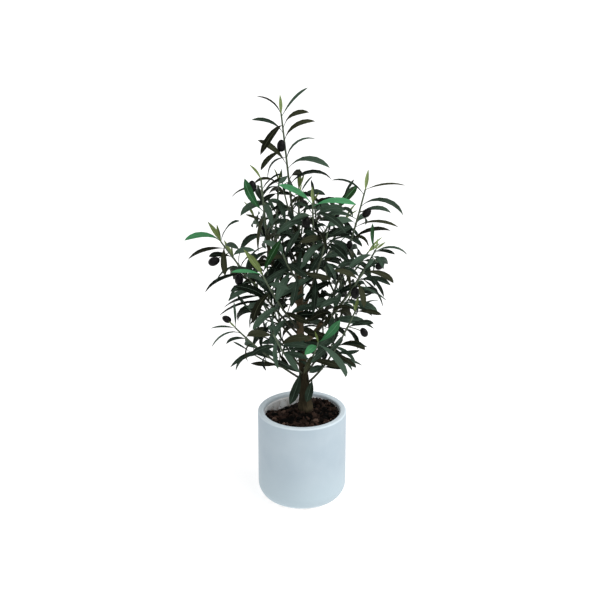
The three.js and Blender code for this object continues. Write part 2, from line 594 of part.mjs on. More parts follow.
// Young leaves at a stem's tip: one that carries the stem on, and a smaller one beside it
function placeTip(spray, curve, random, count) {
  const tangent = curve.getTangent(1);
  const [side, away] = across(tangent);
  for (let i = 0; i < count; i++) {
    const angle = YOUNG_TURN * random();
    placeLeaf(spray, (attempt) => {
      const lean = YOUNG_LEANS[i] + RETRY.lean * attempt;
      const along = tangent.clone()
        .addScaledVector(side, lean * Math.cos(angle))
        .addScaledVector(away, lean * Math.sin(angle)).normalize();
      const length = YOUNG_LENGTH * YOUNG_SCALES[i];
      const size = { length, width: length * YOUNG_SLENDERNESS, nearness: YOUNG_NEARNESS };
      const root = curve.getPoint(1);
      const roll = YOUNG_ROLL * random();
      return grownLeaf(root, along, tangent, roll, size, YOUNG_BEND, outward(root), YOUNG_TWIST);
    });
  }
}

// The stem of a spray, from inside its limb to its tip
function startSpray(row) {
  const start = limbs[row.limb].curve.getPoint(Math.min(row.share, START_LIMIT));
  const tip = vector(row.tip);
  const elbow = start.clone().lerp(tip, 0.5).addScaledVector(UP, -row.sag);
  const curve = new THREE.QuadraticBezierCurve3(start, elbow, tip);
  const spray = { ...row, curve, stemLength: curve.getLength(), leaves: [], twigs: [], olivesAt: [] };
  take(row.name, stemPoints(curve, spray.stemLength));
  return spray;
}

function growShown(spray) {
  for (const [share, x, y, z, bend, twist, slenderness = SHOWN_SLENDERNESS] of spray.shown) {
    const root = spray.curve.getPoint(share);
    const tangent = spray.curve.getTangent(share);
    const tip = new THREE.Vector3(x, y, z);
    placeLeaf(spray, (attempt) => {
      const roll = RETRY.roll * attempt * (attempt % 2 ? 1 : -1);
      return shownLeaf(root, tip, radians(bend), tangent, roll, twist, slenderness);
    }, RIM_FLOOR, 0);
  }
}

// Young leaves at a spray's tip: those that the picture shows, or else a grown pair
function growYoung(spray, random) {
  const { curve, young } = spray;
  if (!young) {
    placeTip(spray, curve, random, 2);
    return;
  }
  for (const tip of young.map(vector)) {
    placeLeaf(spray, (attempt) => {
      const roll = RETRY.roll * attempt;
      const [root, tangent] = [curve.getPoint(1), curve.getTangent(1)];
      const leaf = shownLeaf(root, tip, YOUNG_BEND, tangent, roll, YOUNG_TWIST, YOUNG_SLENDERNESS);
      return { ...leaf, nearness: YOUNG_NEARNESS };
    });
  }
}

function growOlives(spray) {
  for (const [share, x, y, z, lean = 0, size = 1] of spray.olives) {
    const root = spray.curve.getPoint(share);
    const centre = root.clone().add(new THREE.Vector3(x, y, z));
    spray.olivesAt.push({ root, centre, lean, size });
    const shell = new THREE.SphereGeometry(OLIVE_RADIUS * size, 8, 6).attributes.position;
    const points = [];
    for (let i = 0; i < shell.count; i++) {
      const at = new THREE.Vector3().fromBufferAttribute(shell, i).add(centre);
      points.push({ at, reach: 2 * ROOT_ZONE });
    }
    take(spray.name, points);
  }
}

function growTwigs(spray, random) {
  for (let i = 0; i < spray.sideTwigs; i++) {
    const share = mix(spray.bare, TWIG_STARTS.last, TWIG_STARTS.middle + TWIG_STARTS.varies * random());
    const root = spray.curve.getPoint(share);
    const tangent = spray.curve.getTangent(share);
    const [side, away] = across(tangent);
    const first = Math.PI * random();
    for (let attempt = 0; attempt < TRIES; attempt++) {
      const angle = first + RETRY.twigTurn * attempt;
      const way = tangent.clone().multiplyScalar(TWIG_WAY.along)
        .addScaledVector(side, TWIG_WAY.off * Math.cos(angle))
        .addScaledVector(away, TWIG_WAY.off * Math.sin(angle));
      const tip = root.clone().addScaledVector(way, TWIG_LENGTH).addScaledVector(UP, TWIG_RISE);
      const elbow = root.clone().lerp(tip, 0.5).addScaledVector(UP, -TWIG_SAG);
      const curve = new THREE.QuadraticBezierCurve3(root, elbow, tip);
      const points = stemPoints(curve, TWIG_LENGTH);
      if (clearsLimbs(points) && isFree(spray.name, points)) {
        take(spray.name, points);
        spray.twigs.push({ curve, turn: Math.PI * random() });
        break;
      }
    }
  }
}

function growPairs(spray, random) {
  const { curve, bare, reach, pairs } = spray;
  for (let i = pairs - 1; i >= 0; i--) {
    const share = mix(bare, reach, (i + 0.5) / pairs);
    const turn = radians(spray.turn) + (i % 2) * (Math.PI / 2);
    placePair(spray, curve, share, turn, random, share > LAST_PAIR.from ? LAST_PAIR.scale : 1);
  }
  for (const twig of spray.twigs) {
    TWIG_PAIRS.shares.forEach((share, i) => {
      placePair(spray, twig.curve, share, twig.turn + (i * Math.PI) / 2, random, TWIG_PAIRS.scale);
    });
    placeTip(spray, twig.curve, random, 1);
  }
}

// Joins a spray's stem, twigs, leaves and olives, clears its foot from the limb that carries it, and
// takes out edges and folds finer than a sliver
function spraySolid(spray) {
  const bar = (curve, [from, to], steps, turn) => limbSolid({
    curve, radiusAt: (share) => mix(from, to, share), sides: STEM_SIDES, steps, turn: turn + Math.PI / 4,
  });
  const pieces = [bar(spray.curve, STEM_RADII, STEM_STEPS, radians(spray.turn))];
  for (const { curve, turn } of spray.twigs) pieces.push(bar(curve, TWIG_RADII, TWIG_STEPS, turn));
  spray.leaves.forEach((leaf) => pieces.push(leafSolid(leaf)));
  for (const { root, centre, lean, size } of spray.olivesAt) {
    const olive = new THREE.SphereGeometry(size, 6, 4);
    olive.rotateX(Math.PI / 2).scale(OLIVE_RADIUS, OLIVE_RADIUS, OLIVE_LENGTH / 2).rotateY(radians(lean));
    pieces.push(toSolid(olive.translate(centre.x, centre.y, centre.z)));
    pieces.push(bar(new THREE.LineCurve3(root, centre), STALK_RADII, 1, 0));
  }
  const joined = pieces.reduce((whole, piece) => whole.add(piece));
  return mainBody(cutClear(joined, spray.limb)).asOriginal().simplify(SLIVER);
}

// Cuts a piece 0.3 mm clear of the trunk and of the limb that carries it
function cutClear(solid, limbName) {
  const clearOfTrunk = solid.subtract(limbSolid(limbs.trunk, GAP));
  return limbName === 'trunk' ? clearOfTrunk : clearOfTrunk.subtract(limbSolid(limbs[limbName], GAP));
}

const sprays = SPRAYS.map(startSpray);
sprays.forEach(growShown);
sprays.forEach(growOlives);
for (const spray of sprays) growYoung(spray, randomFrom(spray.seed + TIP_STREAM));
for (const spray of sprays) growTwigs(spray, randomFrom(spray.seed + TWIG_STREAM));
for (const spray of sprays) growPairs(spray, randomFrom(spray.seed));

const tree = new THREE.Group();

function addPart(name, geometry, [color, roughness]) {
  const material = new THREE.MeshStandardMaterial({ color, roughness, metalness: 0 });
  const mesh = new THREE.Mesh(geometry, material);
  mesh.name = name;
  tree.add(mesh);
}

addPart('pot', closed(potGeometry()), COLOURS.pot);
addPart('soil', closed(soilGeometry()), COLOURS.soil);
addPart('trunk', toGeometry(limbSolid(limbs.trunk)), COLOURS.bark);
for (const name of Object.keys(BOUGHS)) {
  addPart(name, toGeometry(mainBody(cutClear(limbSolid(limbs[name]), 'trunk'))), COLOURS.bark);
}
sprays.forEach((spray) => addPart(spray.name, toGeometry(spraySolid(spray)), COLOURS.leaf));

export default tree;
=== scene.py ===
import math

import bmesh
import bpy
import numpy as np
from mathutils import Matrix, Vector, noise


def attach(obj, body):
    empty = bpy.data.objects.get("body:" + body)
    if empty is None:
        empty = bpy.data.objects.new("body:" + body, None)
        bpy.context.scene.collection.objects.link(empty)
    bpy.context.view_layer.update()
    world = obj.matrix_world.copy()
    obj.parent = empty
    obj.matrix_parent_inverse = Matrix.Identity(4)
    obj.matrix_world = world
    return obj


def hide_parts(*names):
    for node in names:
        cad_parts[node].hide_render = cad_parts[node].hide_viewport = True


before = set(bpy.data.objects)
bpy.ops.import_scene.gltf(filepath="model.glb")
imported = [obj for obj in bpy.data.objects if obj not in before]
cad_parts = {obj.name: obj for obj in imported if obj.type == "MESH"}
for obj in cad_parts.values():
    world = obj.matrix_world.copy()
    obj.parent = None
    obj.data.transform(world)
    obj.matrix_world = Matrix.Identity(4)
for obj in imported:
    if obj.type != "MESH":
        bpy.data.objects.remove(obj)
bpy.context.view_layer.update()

# Driving sizes of the pot and its filling
GAP = 0.0003
POT_RADIUS = 0.0825
POT_HEIGHT = 0.18
POT_WALL = 0.012
FOOT_ROUND = 0.033
LIP_ROUND = 0.0035
LINER_LEDGE = 0.0015
LEDGE_DROP = 0.007
LINER_FLOOR = 0.12
POT_SIDES = 128
INNER_RADIUS = POT_RADIUS - POT_WALL
SEAT_HEIGHT = 0.177
SEAT_RADIUS = 0.018

# The filling's top: how far it drops all round and at its low side, where and how narrow that side is,
# how far from the wall the slope ends, and its lumps, as waves across and away that set in with the slope
SOIL_DROP = 0.004
SOIL_DIP = 0.024
SOIL_LOW_SIDE = 130
SOIL_NARROW = 4
SOIL_MARGIN = 0.004
SOIL_LUMP = 0.0011
SOIL_WAVES = ((310, 1), (270, 0.4))
SOIL_SET_IN = 8

# Driving sizes of the trunk and boughs; the trunk's way is where its line passes across and away, at its
# foot, at thirds of its height and at its top, and its radii are given by shares of its height
TRUNK_X = 0.0065
TRUNK_TOP = 0.407
TRUNK_WAY = [(TRUNK_X, 0), (TRUNK_X, 0), (-0.008, -0.002), (-0.0039, 0)]
TRUNK_RADII = [
    (0, 0.0145), (0.07, 0.0125), (0.2, 0.0102), (0.38, 0.0081),
    (0.55, 0.0072), (0.64, 0.008), (0.72, 0.0065), (1, 0.0054),
]
TRUNK_STEPS = 14
BOUGH_STEPS = 4

# The low lobes of the flared foot: their height, the share at which they end, and how far the side
# on which the radius is taken is turned from a lobe's ridge
FLARE_LOBES = 0.07
FLARE_TOP = 0.2
FLARE_TURN = 0.6

# Driving sizes of stems, leaves and fruit
STEM_RADII = (0.0023, 0.0015)
TWIG_RADII = (0.0018, 0.0013)
TWIG_LENGTH = 0.062
TWIG_RISE = 0.014
TWIG_SAG = 0.0084
LEAF_LENGTH = 0.072
LEAF_SLENDERNESS = 0.185
SHOWN_SLENDERNESS = 0.15
LEAF_OUTLINE = ((0, 0.4, 0.72, 1), (0, 0.85, 0.9, 0))
YOUNG_LENGTH = 0.038
YOUNG_SLENDERNESS = 0.18
OLIVE_RADIUS = 0.0078
OLIVE_LENGTH = 0.022
STALK_RADIUS = 0.0009

# How leaves stand: the shares of the stem's direction, the sky and the side that a leaf's upper face
# turns to; a pair's angle from the stem at its foot and tip, its bend, its twist, and how much they vary
FACE_STEM, FACE_SKY, FACE_SIDE = 0.5, 0.35, 0.2
PAIR_SPREAD = (64, 40)
PAIR_BEND = 80
PAIR_TWIST = 0.8
PAIR_VARIES = {"turn": 0.2, "spread": 9, "length": 0.12, "bend": 26, "roll": 0.4, "twist": 0.4}
LAST_PAIR, LAST_SCALE = 0.85, 0.82
TWIG_PAIRS = (0.85, 0.5)
TWIG_SCALE = 0.85

# Grown young leaves, the one that carries the stem on and the one beside it: their lengths, how far
# they lean off the stem, and how they stand
YOUNG_SCALES = (1, 0.75)
YOUNG_LEANS = (0.05, 0.35)
YOUNG_TURN = 1.5
YOUNG_ROLL = 0.8
YOUNG_BEND = 0.2
YOUNG_TWIST = 0.3

# What changes with each further try to place a leaf or a twig
RETRY = {"turn": 0.8, "spread": 3, "length": 0.05, "roll": 0.2, "lean": 0.06, "twig_turn": 0.9}

# Side twigs: their start between the first leaves and a last share, and their way along and off the stem
TWIG_LAST, TWIG_MIDDLE, TWIG_VARIES = 0.8, 0.35, 0.3
TWIG_ALONG, TWIG_OFF = 0.75, 0.66

# Finest twigs, which only this finer model has: their place on a stem, how far out and up they grow,
# their length, rise and radii, the place of their leaves and how much smaller these are
FINE_START = 0.36
FINE_REACH = 0.1
FINE_TOP = 0.6
FINE_LENGTH = 0.026
FINE_RISE = 0.006
FINE_RADII = (0.0011, 0.0008)
FINE_PAIR = 0.8
FINE_SCALE = 0.55

# Grown young leaves are pale only on stems whose tips lie this far behind the trunk
PALE_TIPS = 0.06

# The highest share of a limb at which a stem or bough starts, below the limb's flat top
START_LIMIT = 0.985

# What is added to a spray's seed for its young leaves, its twigs and its finest twigs
TIP_STREAM = 500
TWIG_STREAM = 900
FINE_STREAM = 1700

# The streams of random numbers: what each state is multiplied by, the prime that it stays below, and
# how many numbers are passed over first
STREAM_FACTOR = 48271
STREAM_LIMIT = 2147483647
STREAM_SKIPPED = 3

# Limits of the growth rule: clearance to other sprays and to limbs, the zone round a leaf's own root,
# in which a young leaf counts as nearer, so that young leaves may stand close together, and the crown's
# top and floor; the floor rises by a share of the distance in front of the trunk
CLEAR = 0.0036
LIMB_CLEAR = 0.002
ROOT_ZONE = 0.013
YOUNG_NEARNESS = 0.4
SAMPLE = 0.0025
TRIES = 7
CROWN_TOP = 0.799
CROWN_FLOOR = 0.256
FLOOR_RISE = 0.42
RIM_FLOOR = 0.186

# How finely curves are followed: the step for a direction, the steps for a length, and the rings and
# points a ring that stand for an olive
NEARBY = 1e-4
LENGTH_STEPS = 200
FRUIT_RINGS = 7
FRUIT_POINTS = 9

UP = np.array([0.0, 0.0, 1.0])
AWAY = np.array([0.0, 1.0, 0.0])

# Each bough is one tapering limb: where it leaves the trunk, its elbow and tip, and its radii there
BOUGHS = {
    "bough_leader": {
        "share": 1, "elbow": (-0.003, 0.001, 0.436), "tip": (-0.008, 0.005, 0.47),
        "radii": (0.0047, 0.0031),
    },
    "bough_left": {
        "share": 0.94, "elbow": (-0.027, -0.006, 0.418), "tip": (-0.059, -0.012, 0.486),
        "radii": (0.0045, 0.0028),
    },
    "bough_middle": {
        "share": 0.88, "elbow": (0.009, -0.02, 0.402), "tip": (0.022, -0.025, 0.452),
        "radii": (0.0043, 0.0028),
    },
    "bough_back": {
        "share": 0.8, "elbow": (-0.004, 0.03, 0.384), "tip": (-0.012, 0.05, 0.442),
        "radii": (0.0046, 0.0029),
    },
    "bough_right": {
        "share": 0.63, "elbow": (0.02, -0.006, 0.326), "tip": (0.036, -0.01, 0.362),
        "radii": (0.0064, 0.0044),
    },
}

# Each spray: its limb and the share along it where its stem starts, the stem's tip, how far the stem
# sags below a straight line, its leaf pairs between the shares bare and reach, the turn of the first
# pair in degrees, its side twigs and its seed. Olives are a share and the fruit's offset from the stem,
# with its lean in degrees and its size where it hangs askew or is smaller than most.
# Shown leaves stand out in the picture: a share, the leaf's tip, its bend in degrees, the twist that
# turns its face to the viewer, and its slenderness where it is broader than most. Green gives the shown
# leaves that are green, by their number and with their tone from -1 to 1, and brown those that are
# brown. Young leaves that stand out are given by their tips. What a spray has none of is left out.
SPRAYS = [
    {
        "name": "spray_top", "limb": "bough_leader", "share": 1, "tip": (-0.037, 0.015, 0.748),
        "sag": -0.012, "pairs": 5, "bare": 0.1, "reach": 0.58, "turn": 70, "twig_count": 1, "seed": 11,
        "olives": [(0.79, -0.006, -0.006, -0.001)],
        "young": [(-0.039, 0.015, 0.783)],
        "shown": [
            (0.98, 0.01, 0.005, 0.798, 25, 0.1), (0.99, -0.08, 0.02, 0.778, 80, -0.4),
            (0.89, 0.012, -0.018, 0.76, 80, 0.6), (0.86, -0.089, 0, 0.741, 75, 0.3),
            (0.81, 0.023, 0.012, 0.735, 95, 0.4), (0.92, -0.073, -0.03, 0.687, 110, -0.1),
            (0.64, -0.078, -0.02, 0.711, 40, 0.9), (0.68, 0.024, 0.025, 0.699, 115, -0.3),
            (0.62, 0.048, -0.035, 0.665, 90, 0.2), (0.75, -0.074, 0.032, 0.638, 50, 1.1),
            (0.51, 0.053, 0.026, 0.622, 120, 0), (0.7, -0.062, 0.045, 0.62, 70, 0.5),
            (0.58, -0.041, -0.038, 0.637, 10, 0.6, 0.18), (0.09, -0.058, -0.04, 0.438, 105, 0.3),
        ],
        "brown": [1, 2, 4, 5, 6, 9],
    },
    {
        "name": "spray_upper_left", "limb": "bough_left", "share": 1, "tip": (-0.072, -0.035, 0.645),
        "sag": 0.014, "pairs": 5, "bare": 0.12, "reach": 0.97, "turn": 20, "twig_count": 1, "seed": 22,
        "olives": [(0.92, -0.017, 0.004, -0.001)],
        "young": [(-0.092, -0.04, 0.673)],
        "shown": [
            (0.64, -0.1, -0.058, 0.654, -34, 1.2, 0.19), (0.91, -0.125, -0.02, 0.606, 65, -0.2),
            (0.6, -0.077, -0.066, 0.52, 115, -1), (0.53, -0.1, -0.04, 0.581, 10, 0.4),
        ],
        "green": {0: -0.5}, "brown": [1, 2, 3],
    },
    {
        "name": "spray_left_crest", "limb": "bough_left", "share": 0.9, "tip": (-0.042, 0.044, 0.61),
        "sag": 0.006, "pairs": 5, "bare": 0.15, "reach": 0.95, "turn": 75, "twig_count": 1, "seed": 33,
        "young": [(-0.05, 0.044, 0.638), (-0.038, 0.052, 0.632)],
        "shown": [
            (0.99, -0.089, 0.062, 0.599, 105, 0.5), (0.96, -0.074, 0.022, 0.581, 120, 0),
            (0.89, -0.078, -0.01, 0.588, 30, 1),
        ],
        "brown": [0],
    },
    {
        "name": "spray_centre", "limb": "bough_middle", "share": 1, "tip": (0.018, -0.045, 0.604),
        "sag": 0.008, "pairs": 5, "bare": 0.12, "reach": 0.9, "turn": 20, "twig_count": 1, "seed": 44,
        "olives": [(0.84, -0.012, -0.007, -0.008)],
        "young": [(0.017, -0.048, 0.636), (0.029, -0.04, 0.622)],
        "shown": [
            (0.98, -0.042, -0.066, 0.645, 40, 0.7), (0.96, 0.094, -0.06, 0.606, 62, 0.4),
            (0.88, 0.076, -0.085, 0.562, 85, 0.4), (0.86, -0.046, -0.085, 0.56, 45, 0.4),
        ],
        "green": {0: 0.4, 1: 1},
    },
    {
        "name": "spray_centre_left", "limb": "bough_leader", "share": 0.5, "tip": (-0.034, -0.084, 0.524),
        "sag": 0.014, "pairs": 5, "bare": 0.3, "reach": 0.96, "turn": 35, "twig_count": 1, "seed": 57,
        "shown": [
            (0.52, -0.046, -0.095, 0.438, 50, 0.4, 0.2), (0.95, -0.07, -0.1, 0.554, 85, 0.8, 0.17),
        ],
    },
    {
        "name": "spray_right_inner", "limb": "bough_middle", "share": 0.78, "tip": (0.044, -0.072, 0.56),
        "sag": 0.01, "pairs": 5, "bare": 0.2, "reach": 0.96, "turn": 30, "twig_count": 0, "seed": 55,
        "shown": [
            (0.84, 0.081, -0.1, 0.513, 70, 0.7, 0.21), (0.82, 0.001, -0.09, 0.508, 120, 0.5, 0.18),
            (0.69, 0.015, -0.07, 0.485, 25, 0.3, 0.25), (0.26, -0.041, -0.08, 0.441, 45, 0.5),
            (0.25, 0.019, -0.08, 0.407, 120, 0.8),
        ],
    },
    {
        "name": "spray_right_top", "limb": "bough_right", "share": 1, "tip": (0.111, -0.008, 0.616),
        "sag": 0.034, "pairs": 7, "bare": 0.14, "reach": 0.84, "turn": 60, "twig_count": 1, "seed": 66,
        "olives": [(0.87, 0.013, -0.004, -0.001, 40, 0.9), (0.7, -0.004, -0.008, -0.01, 0, 0.75)],
        "young": [(0.116, -0.008, 0.654)],
        "shown": [
            (1, 0.183, 0, 0.621, 45, -0.3), (0.9, 0.178, -0.024, 0.573, 120, 0.1),
            (0.86, 0.159, 0.018, 0.563, 75, 0.4), (0.97, 0.051, 0.005, 0.629, 80, -0.3),
            (0.77, 0.169, -0.045, 0.559, 60, -0.1), (0.69, 0.16, 0.02, 0.528, 70, 0),
            (0.82, 0.039, 0.035, 0.549, 60, 0.5), (0.7, 0.043, -0.05, 0.53, 50, -0.5),
            (0.35, 0.003, -0.06, 0.421, 105, 0.2), (0.24, 0.043, -0.07, 0.5, 45, 0.2),
            (0.27, 0.106, -0.06, 0.458, 10, 1.4),
        ],
        "brown": [0, 4, 5],
    },
    {
        "name": "spray_right_outer", "limb": "bough_right", "share": 0.76, "tip": (0.13, -0.038, 0.514),
        "sag": 0.026, "pairs": 5, "bare": 0.2, "reach": 0.9, "turn": 40, "twig_count": 1, "seed": 77,
        "olives": [(0.93, 0.015, -0.004, -0.014, 50, 0.85)],
        "young": [(0.132, -0.042, 0.537), (0.148, -0.03, 0.526)],
        "shown": [
            (0.98, 0.187, -0.03, 0.501, 95, -0.3), (0.97, 0.163, -0.066, 0.516, 60, 0.6),
            (0.98, 0.122, -0.064, 0.574, -15, 1.1), (0.95, 0.08, -0.085, 0.497, 65, 0.3),
            (0.9, 0.142, -0.08, 0.493, 120, 0.3),
        ],
        "green": {2: -0.7},
    },
    {
        "name": "spray_right_middle", "limb": "bough_right", "share": 0.58, "tip": (0.108, -0.092, 0.496),
        "sag": 0.02, "pairs": 5, "bare": 0.2, "reach": 0.96, "turn": 15, "twig_count": 0, "seed": 88,
        "olives": [(0.78, 0.004, -0.008, -0.005)],
        "shown": [
            (0.98, 0.16, -0.084, 0.469, 90, 1, 0.16), (0.83, 0.15, -0.06, 0.426, 25, -0.4),
            (0.86, 0.108, -0.11, 0.433, 75, 0.5, 0.2), (1, 0.143, -0.1, 0.449, 45, 0),
            (0.92, 0.142, -0.095, 0.428, 65, -0.6),
        ],
        "brown": [0, 2],
    },
    {
        "name": "spray_upper_right", "limb": "bough_leader", "share": 0.84, "tip": (0.074, 0.05, 0.582),
        "sag": 0.02, "pairs": 6, "bare": 0.15, "reach": 0.92, "turn": 35, "twig_count": 1, "seed": 99,
        "olives": [(0.86, -0.002, 0.009, -0.009)],
        "shown": [
            (0.84, 0.101, 0.095, 0.588, 30, 0.4, 0.2), (0.84, 0.051, 0.08, 0.566, 10, 0.8, 0.2),
        ],
        "green": {0: -0.8},
    },
    {
        "name": "spray_left_outer", "limb": "trunk", "share": 0.66, "tip": (-0.144, -0.03, 0.526),
        "sag": 0.012, "pairs": 8, "bare": 0.24, "reach": 0.9, "turn": 55, "twig_count": 1, "seed": 111,
        "olives": [(0.9, -0.027, -0.006, -0.014, 65, 1), (0.76, -0.003, -0.007, -0.02)],
        "young": [(-0.167, -0.036, 0.567), (-0.151, -0.026, 0.558)],
        "shown": [
            (1, -0.208, -0.045, 0.534, 90, 0.6), (1, -0.111, 0, 0.554, 100, -1.2),
            (0.94, -0.206, 0, 0.48, 55, 0), (0.96, -0.136, -0.066, 0.475, 40, 0.5, 0.2),
            (0.7, -0.176, -0.01, 0.42, 60, -0.1), (0.96, -0.11, -0.085, 0.533, 50, 0.3),
            (0.47, -0.145, 0.02, 0.377, 45, -0.3), (0.4, -0.151, -0.02, 0.379, 60, -0.5),
            (0.61, -0.13, -0.05, 0.419, 105, -0.2), (0.38, -0.123, -0.06, 0.454, 50, 1.4),
        ],
        "green": {0: 0.2}, "brown": [2, 3],
    },
    {
        "name": "spray_left_inner", "limb": "trunk", "share": 0.72, "tip": (-0.07, -0.095, 0.49),
        "sag": 0.018, "pairs": 6, "bare": 0.25, "reach": 0.92, "turn": 36, "twig_count": 0, "seed": 122,
        "young": [(-0.102, -0.099, 0.539), (-0.086, -0.092, 0.525)],
        "shown": [
            (1, -0.037, -0.118, 0.563, 10, 0.8), (1, -0.123, -0.13, 0.508, 25, 0),
            (0.95, -0.128, -0.09, 0.497, 80, 0.1),
        ],
        "green": {0: -0.9, 1: 0.6},
    },
    {
        "name": "spray_left_low", "limb": "trunk", "share": 0.27, "tip": (-0.12, -0.058, 0.372),
        "sag": 0.014, "pairs": 6, "bare": 0.28, "reach": 0.9, "turn": 40, "twig_count": 1, "seed": 133,
        "olives": [(0.97, -0.019, 0.002, 0.02, -60, 0.8)],
        "young": [(-0.132, -0.06, 0.386)],
        "shown": [
            (0.99, -0.165, -0.05, 0.367, 55, -0.4), (0.91, -0.162, -0.084, 0.345, 105, -0.5),
            (0.82, -0.138, -0.038, 0.33, 105, 0.2), (0.58, -0.13, -0.072, 0.3, 120, -0.5),
            (0.37, -0.094, -0.042, 0.294, 60, 0.1), (1, -0.121, -0.07, 0.428, -10, 0.1),
        ],
        "brown": [4],
    },
    {
        "name": "spray_left_fore", "limb": "trunk", "share": 0.33, "tip": (-0.051, -0.118, 0.386),
        "sag": 0.022, "pairs": 4, "bare": 0.52, "reach": 0.95, "turn": 0, "twig_count": 0, "seed": 144,
        "shown": [
            (0.12, -0.023, -0.034, 0.206, -45, 0.4, 0.25),
        ],
    },
    {
        "name": "spray_right_low", "limb": "trunk", "share": 0.23, "tip": (0.094, -0.068, 0.408),
        "sag": 0.038, "pairs": 6, "bare": 0.3, "reach": 0.9, "turn": 95, "twig_count": 1, "seed": 155,
        "olives": [(0.86, 0.029, -0.006, -0.008, -30, 0.85)],
        "young": [(0.1, -0.066, 0.439), (0.089, -0.072, 0.426)],
        "shown": [
            (1, 0.142, -0.06, 0.398, 40, 0.9, 0.17), (0.91, 0.127, -0.092, 0.385, 55, -0.2),
            (1, 0.136, -0.04, 0.417, 85, -0.7), (0.66, 0.118, -0.06, 0.334, 60, -0.3),
            (0.59, 0.104, -0.052, 0.325, -40, 0.9), (0.55, 0.11, -0.036, 0.287, 20, -0.3),
            (0.16, 0.008, -0.027, 0.208, 30, 0.2, 0.32), (0.4, 0.012, -0.075, 0.291, 20, 0.4, 0.22),
            (0.36, 0.076, -0.07, 0.296, 30, 0.4, 0.22), (1, 0.053, -0.07, 0.41, 120, 0.6),
        ],
        "brown": [0, 9],
    },
    {
        "name": "spray_front", "limb": "trunk", "share": 0.38, "tip": (0.028, -0.108, 0.366),
        "sag": 0.022, "pairs": 3, "bare": 0.45, "reach": 0.9, "turn": 0, "twig_count": 0, "seed": 166,
        "young": [(0.022, -0.112, 0.389)],
        "shown": [
            (0.99, 0.065, -0.15, 0.427, -20, 1.2, 0.17), (0.93, 0.004, -0.15, 0.361, 40, 0.4, 0.24),
            (0.96, 0.077, -0.11, 0.299, 110, 1.4), (0.72, -0.054, -0.06, 0.318, 65, -0.3),
        ],
        "green": {0: -0.1, 1: 0.3},
    },
    {
        "name": "spray_left_back", "limb": "trunk", "share": 0.58, "tip": (-0.126, 0.066, 0.458),
        "sag": 0.024, "pairs": 6, "bare": 0.25, "reach": 0.96, "turn": 65, "twig_count": 1, "seed": 188,
        "olives": [(0.9, -0.008, 0.006, -0.01)],
    },
    {
        "name": "spray_right_back", "limb": "trunk", "share": 0.76, "tip": (0.122, 0.07, 0.468),
        "sag": 0.026, "pairs": 6, "bare": 0.25, "reach": 0.96, "turn": 15, "twig_count": 1, "seed": 199,
        "olives": [(0.6, 0.004, 0.009, -0.012)],
    },
    {
        "name": "spray_back_low_left", "limb": "trunk", "share": 0.36, "tip": (-0.082, 0.112, 0.368),
        "sag": 0.024, "pairs": 6, "bare": 0.3, "reach": 0.96, "turn": 45, "twig_count": 1, "seed": 211,
    },
    {
        "name": "spray_back_low_right", "limb": "trunk", "share": 0.31, "tip": (0.088, 0.1, 0.362),
        "sag": 0.024, "pairs": 6, "bare": 0.3, "reach": 0.96, "turn": 75, "twig_count": 1, "seed": 222,
        "olives": [(0.9, 0.004, 0.009, -0.008)],
    },
    {
        "name": "spray_back_low", "limb": "trunk", "share": 0.48, "tip": (0.002, 0.146, 0.44),
        "sag": 0.03, "pairs": 6, "bare": 0.3, "reach": 0.96, "turn": 20, "twig_count": 1, "seed": 233,
    },
    {
        "name": "spray_back_left", "limb": "bough_back", "share": 1, "tip": (-0.088, 0.108, 0.52),
        "sag": 0.024, "pairs": 6, "bare": 0.15, "reach": 0.96, "turn": 30, "twig_count": 1, "seed": 244,
        "olives": [(0.9, 0.009, 0.008, -0.012)],
    },
    {
        "name": "spray_back_middle", "limb": "bough_back", "share": 0.9, "tip": (-0.006, 0.13, 0.54),
        "sag": 0.024, "pairs": 6, "bare": 0.15, "reach": 0.96, "turn": 60, "twig_count": 1, "seed": 255,
    },
    {
        "name": "spray_back_right", "limb": "bough_back", "share": 0.8, "tip": (0.08, 0.118, 0.514),
        "sag": 0.024, "pairs": 6, "bare": 0.15, "reach": 0.96, "turn": 45, "twig_count": 1, "seed": 266,
    },
    {
        "name": "spray_back_high", "limb": "bough_leader", "share": 0.62, "tip": (-0.006, 0.066, 0.592),
        "sag": 0.016, "pairs": 5, "bare": 0.2, "reach": 0.96, "turn": 25, "twig_count": 1, "seed": 277,
        "olives": [(0.88, 0.003, 0.009, -0.006)],
    },
]


def random_from(seed):
    """A repeatable stream of random numbers from -1 to 1."""
    state = seed
    for _ in range(STREAM_SKIPPED):
        state = state * STREAM_FACTOR % STREAM_LIMIT

    def draw():
        nonlocal state
        state = state * STREAM_FACTOR % STREAM_LIMIT
        return 2 * state / STREAM_LIMIT - 1

    return draw


def mix(a, b, share):
    return a + (b - a) * share


def unit(v):
    return v / np.linalg.norm(v)


class Curve:
    """A Bezier curve of three or four points."""

    def __init__(self, *points):
        self.points = [np.array(p, float) for p in points]

    def at(self, share):
        points = self.points
        while len(points) > 1:
            points = [mix(a, b, share) for a, b in zip(points, points[1:])]
        return points[0]

    def tangent(self, share):
        return unit(self.at(min(share + NEARBY, 1)) - self.at(max(share - NEARBY, 0)))

    def length(self):
        path = np.array([self.at(i / LENGTH_STEPS) for i in range(LENGTH_STEPS + 1)])
        return float(np.linalg.norm(np.diff(path, axis=0), axis=1).sum())


def across(tangent):
    """Two directions square to a curve: across the picture, and away from its viewer."""
    side = unit(np.cross(AWAY, tangent))
    return side, np.cross(tangent, side)


def trunk_radius(share):
    """Trunk radius at its right side, where the flared foot has part of a lobe that fades upwards."""
    lobe = FLARE_LOBES * max(0, 1 - share / FLARE_TOP) * math.cos(FLARE_TURN)
    return float(np.interp(share, *zip(*TRUNK_RADII))) * (1 + lobe)


def tapered(radii):
    return lambda share: mix(*radii, share)


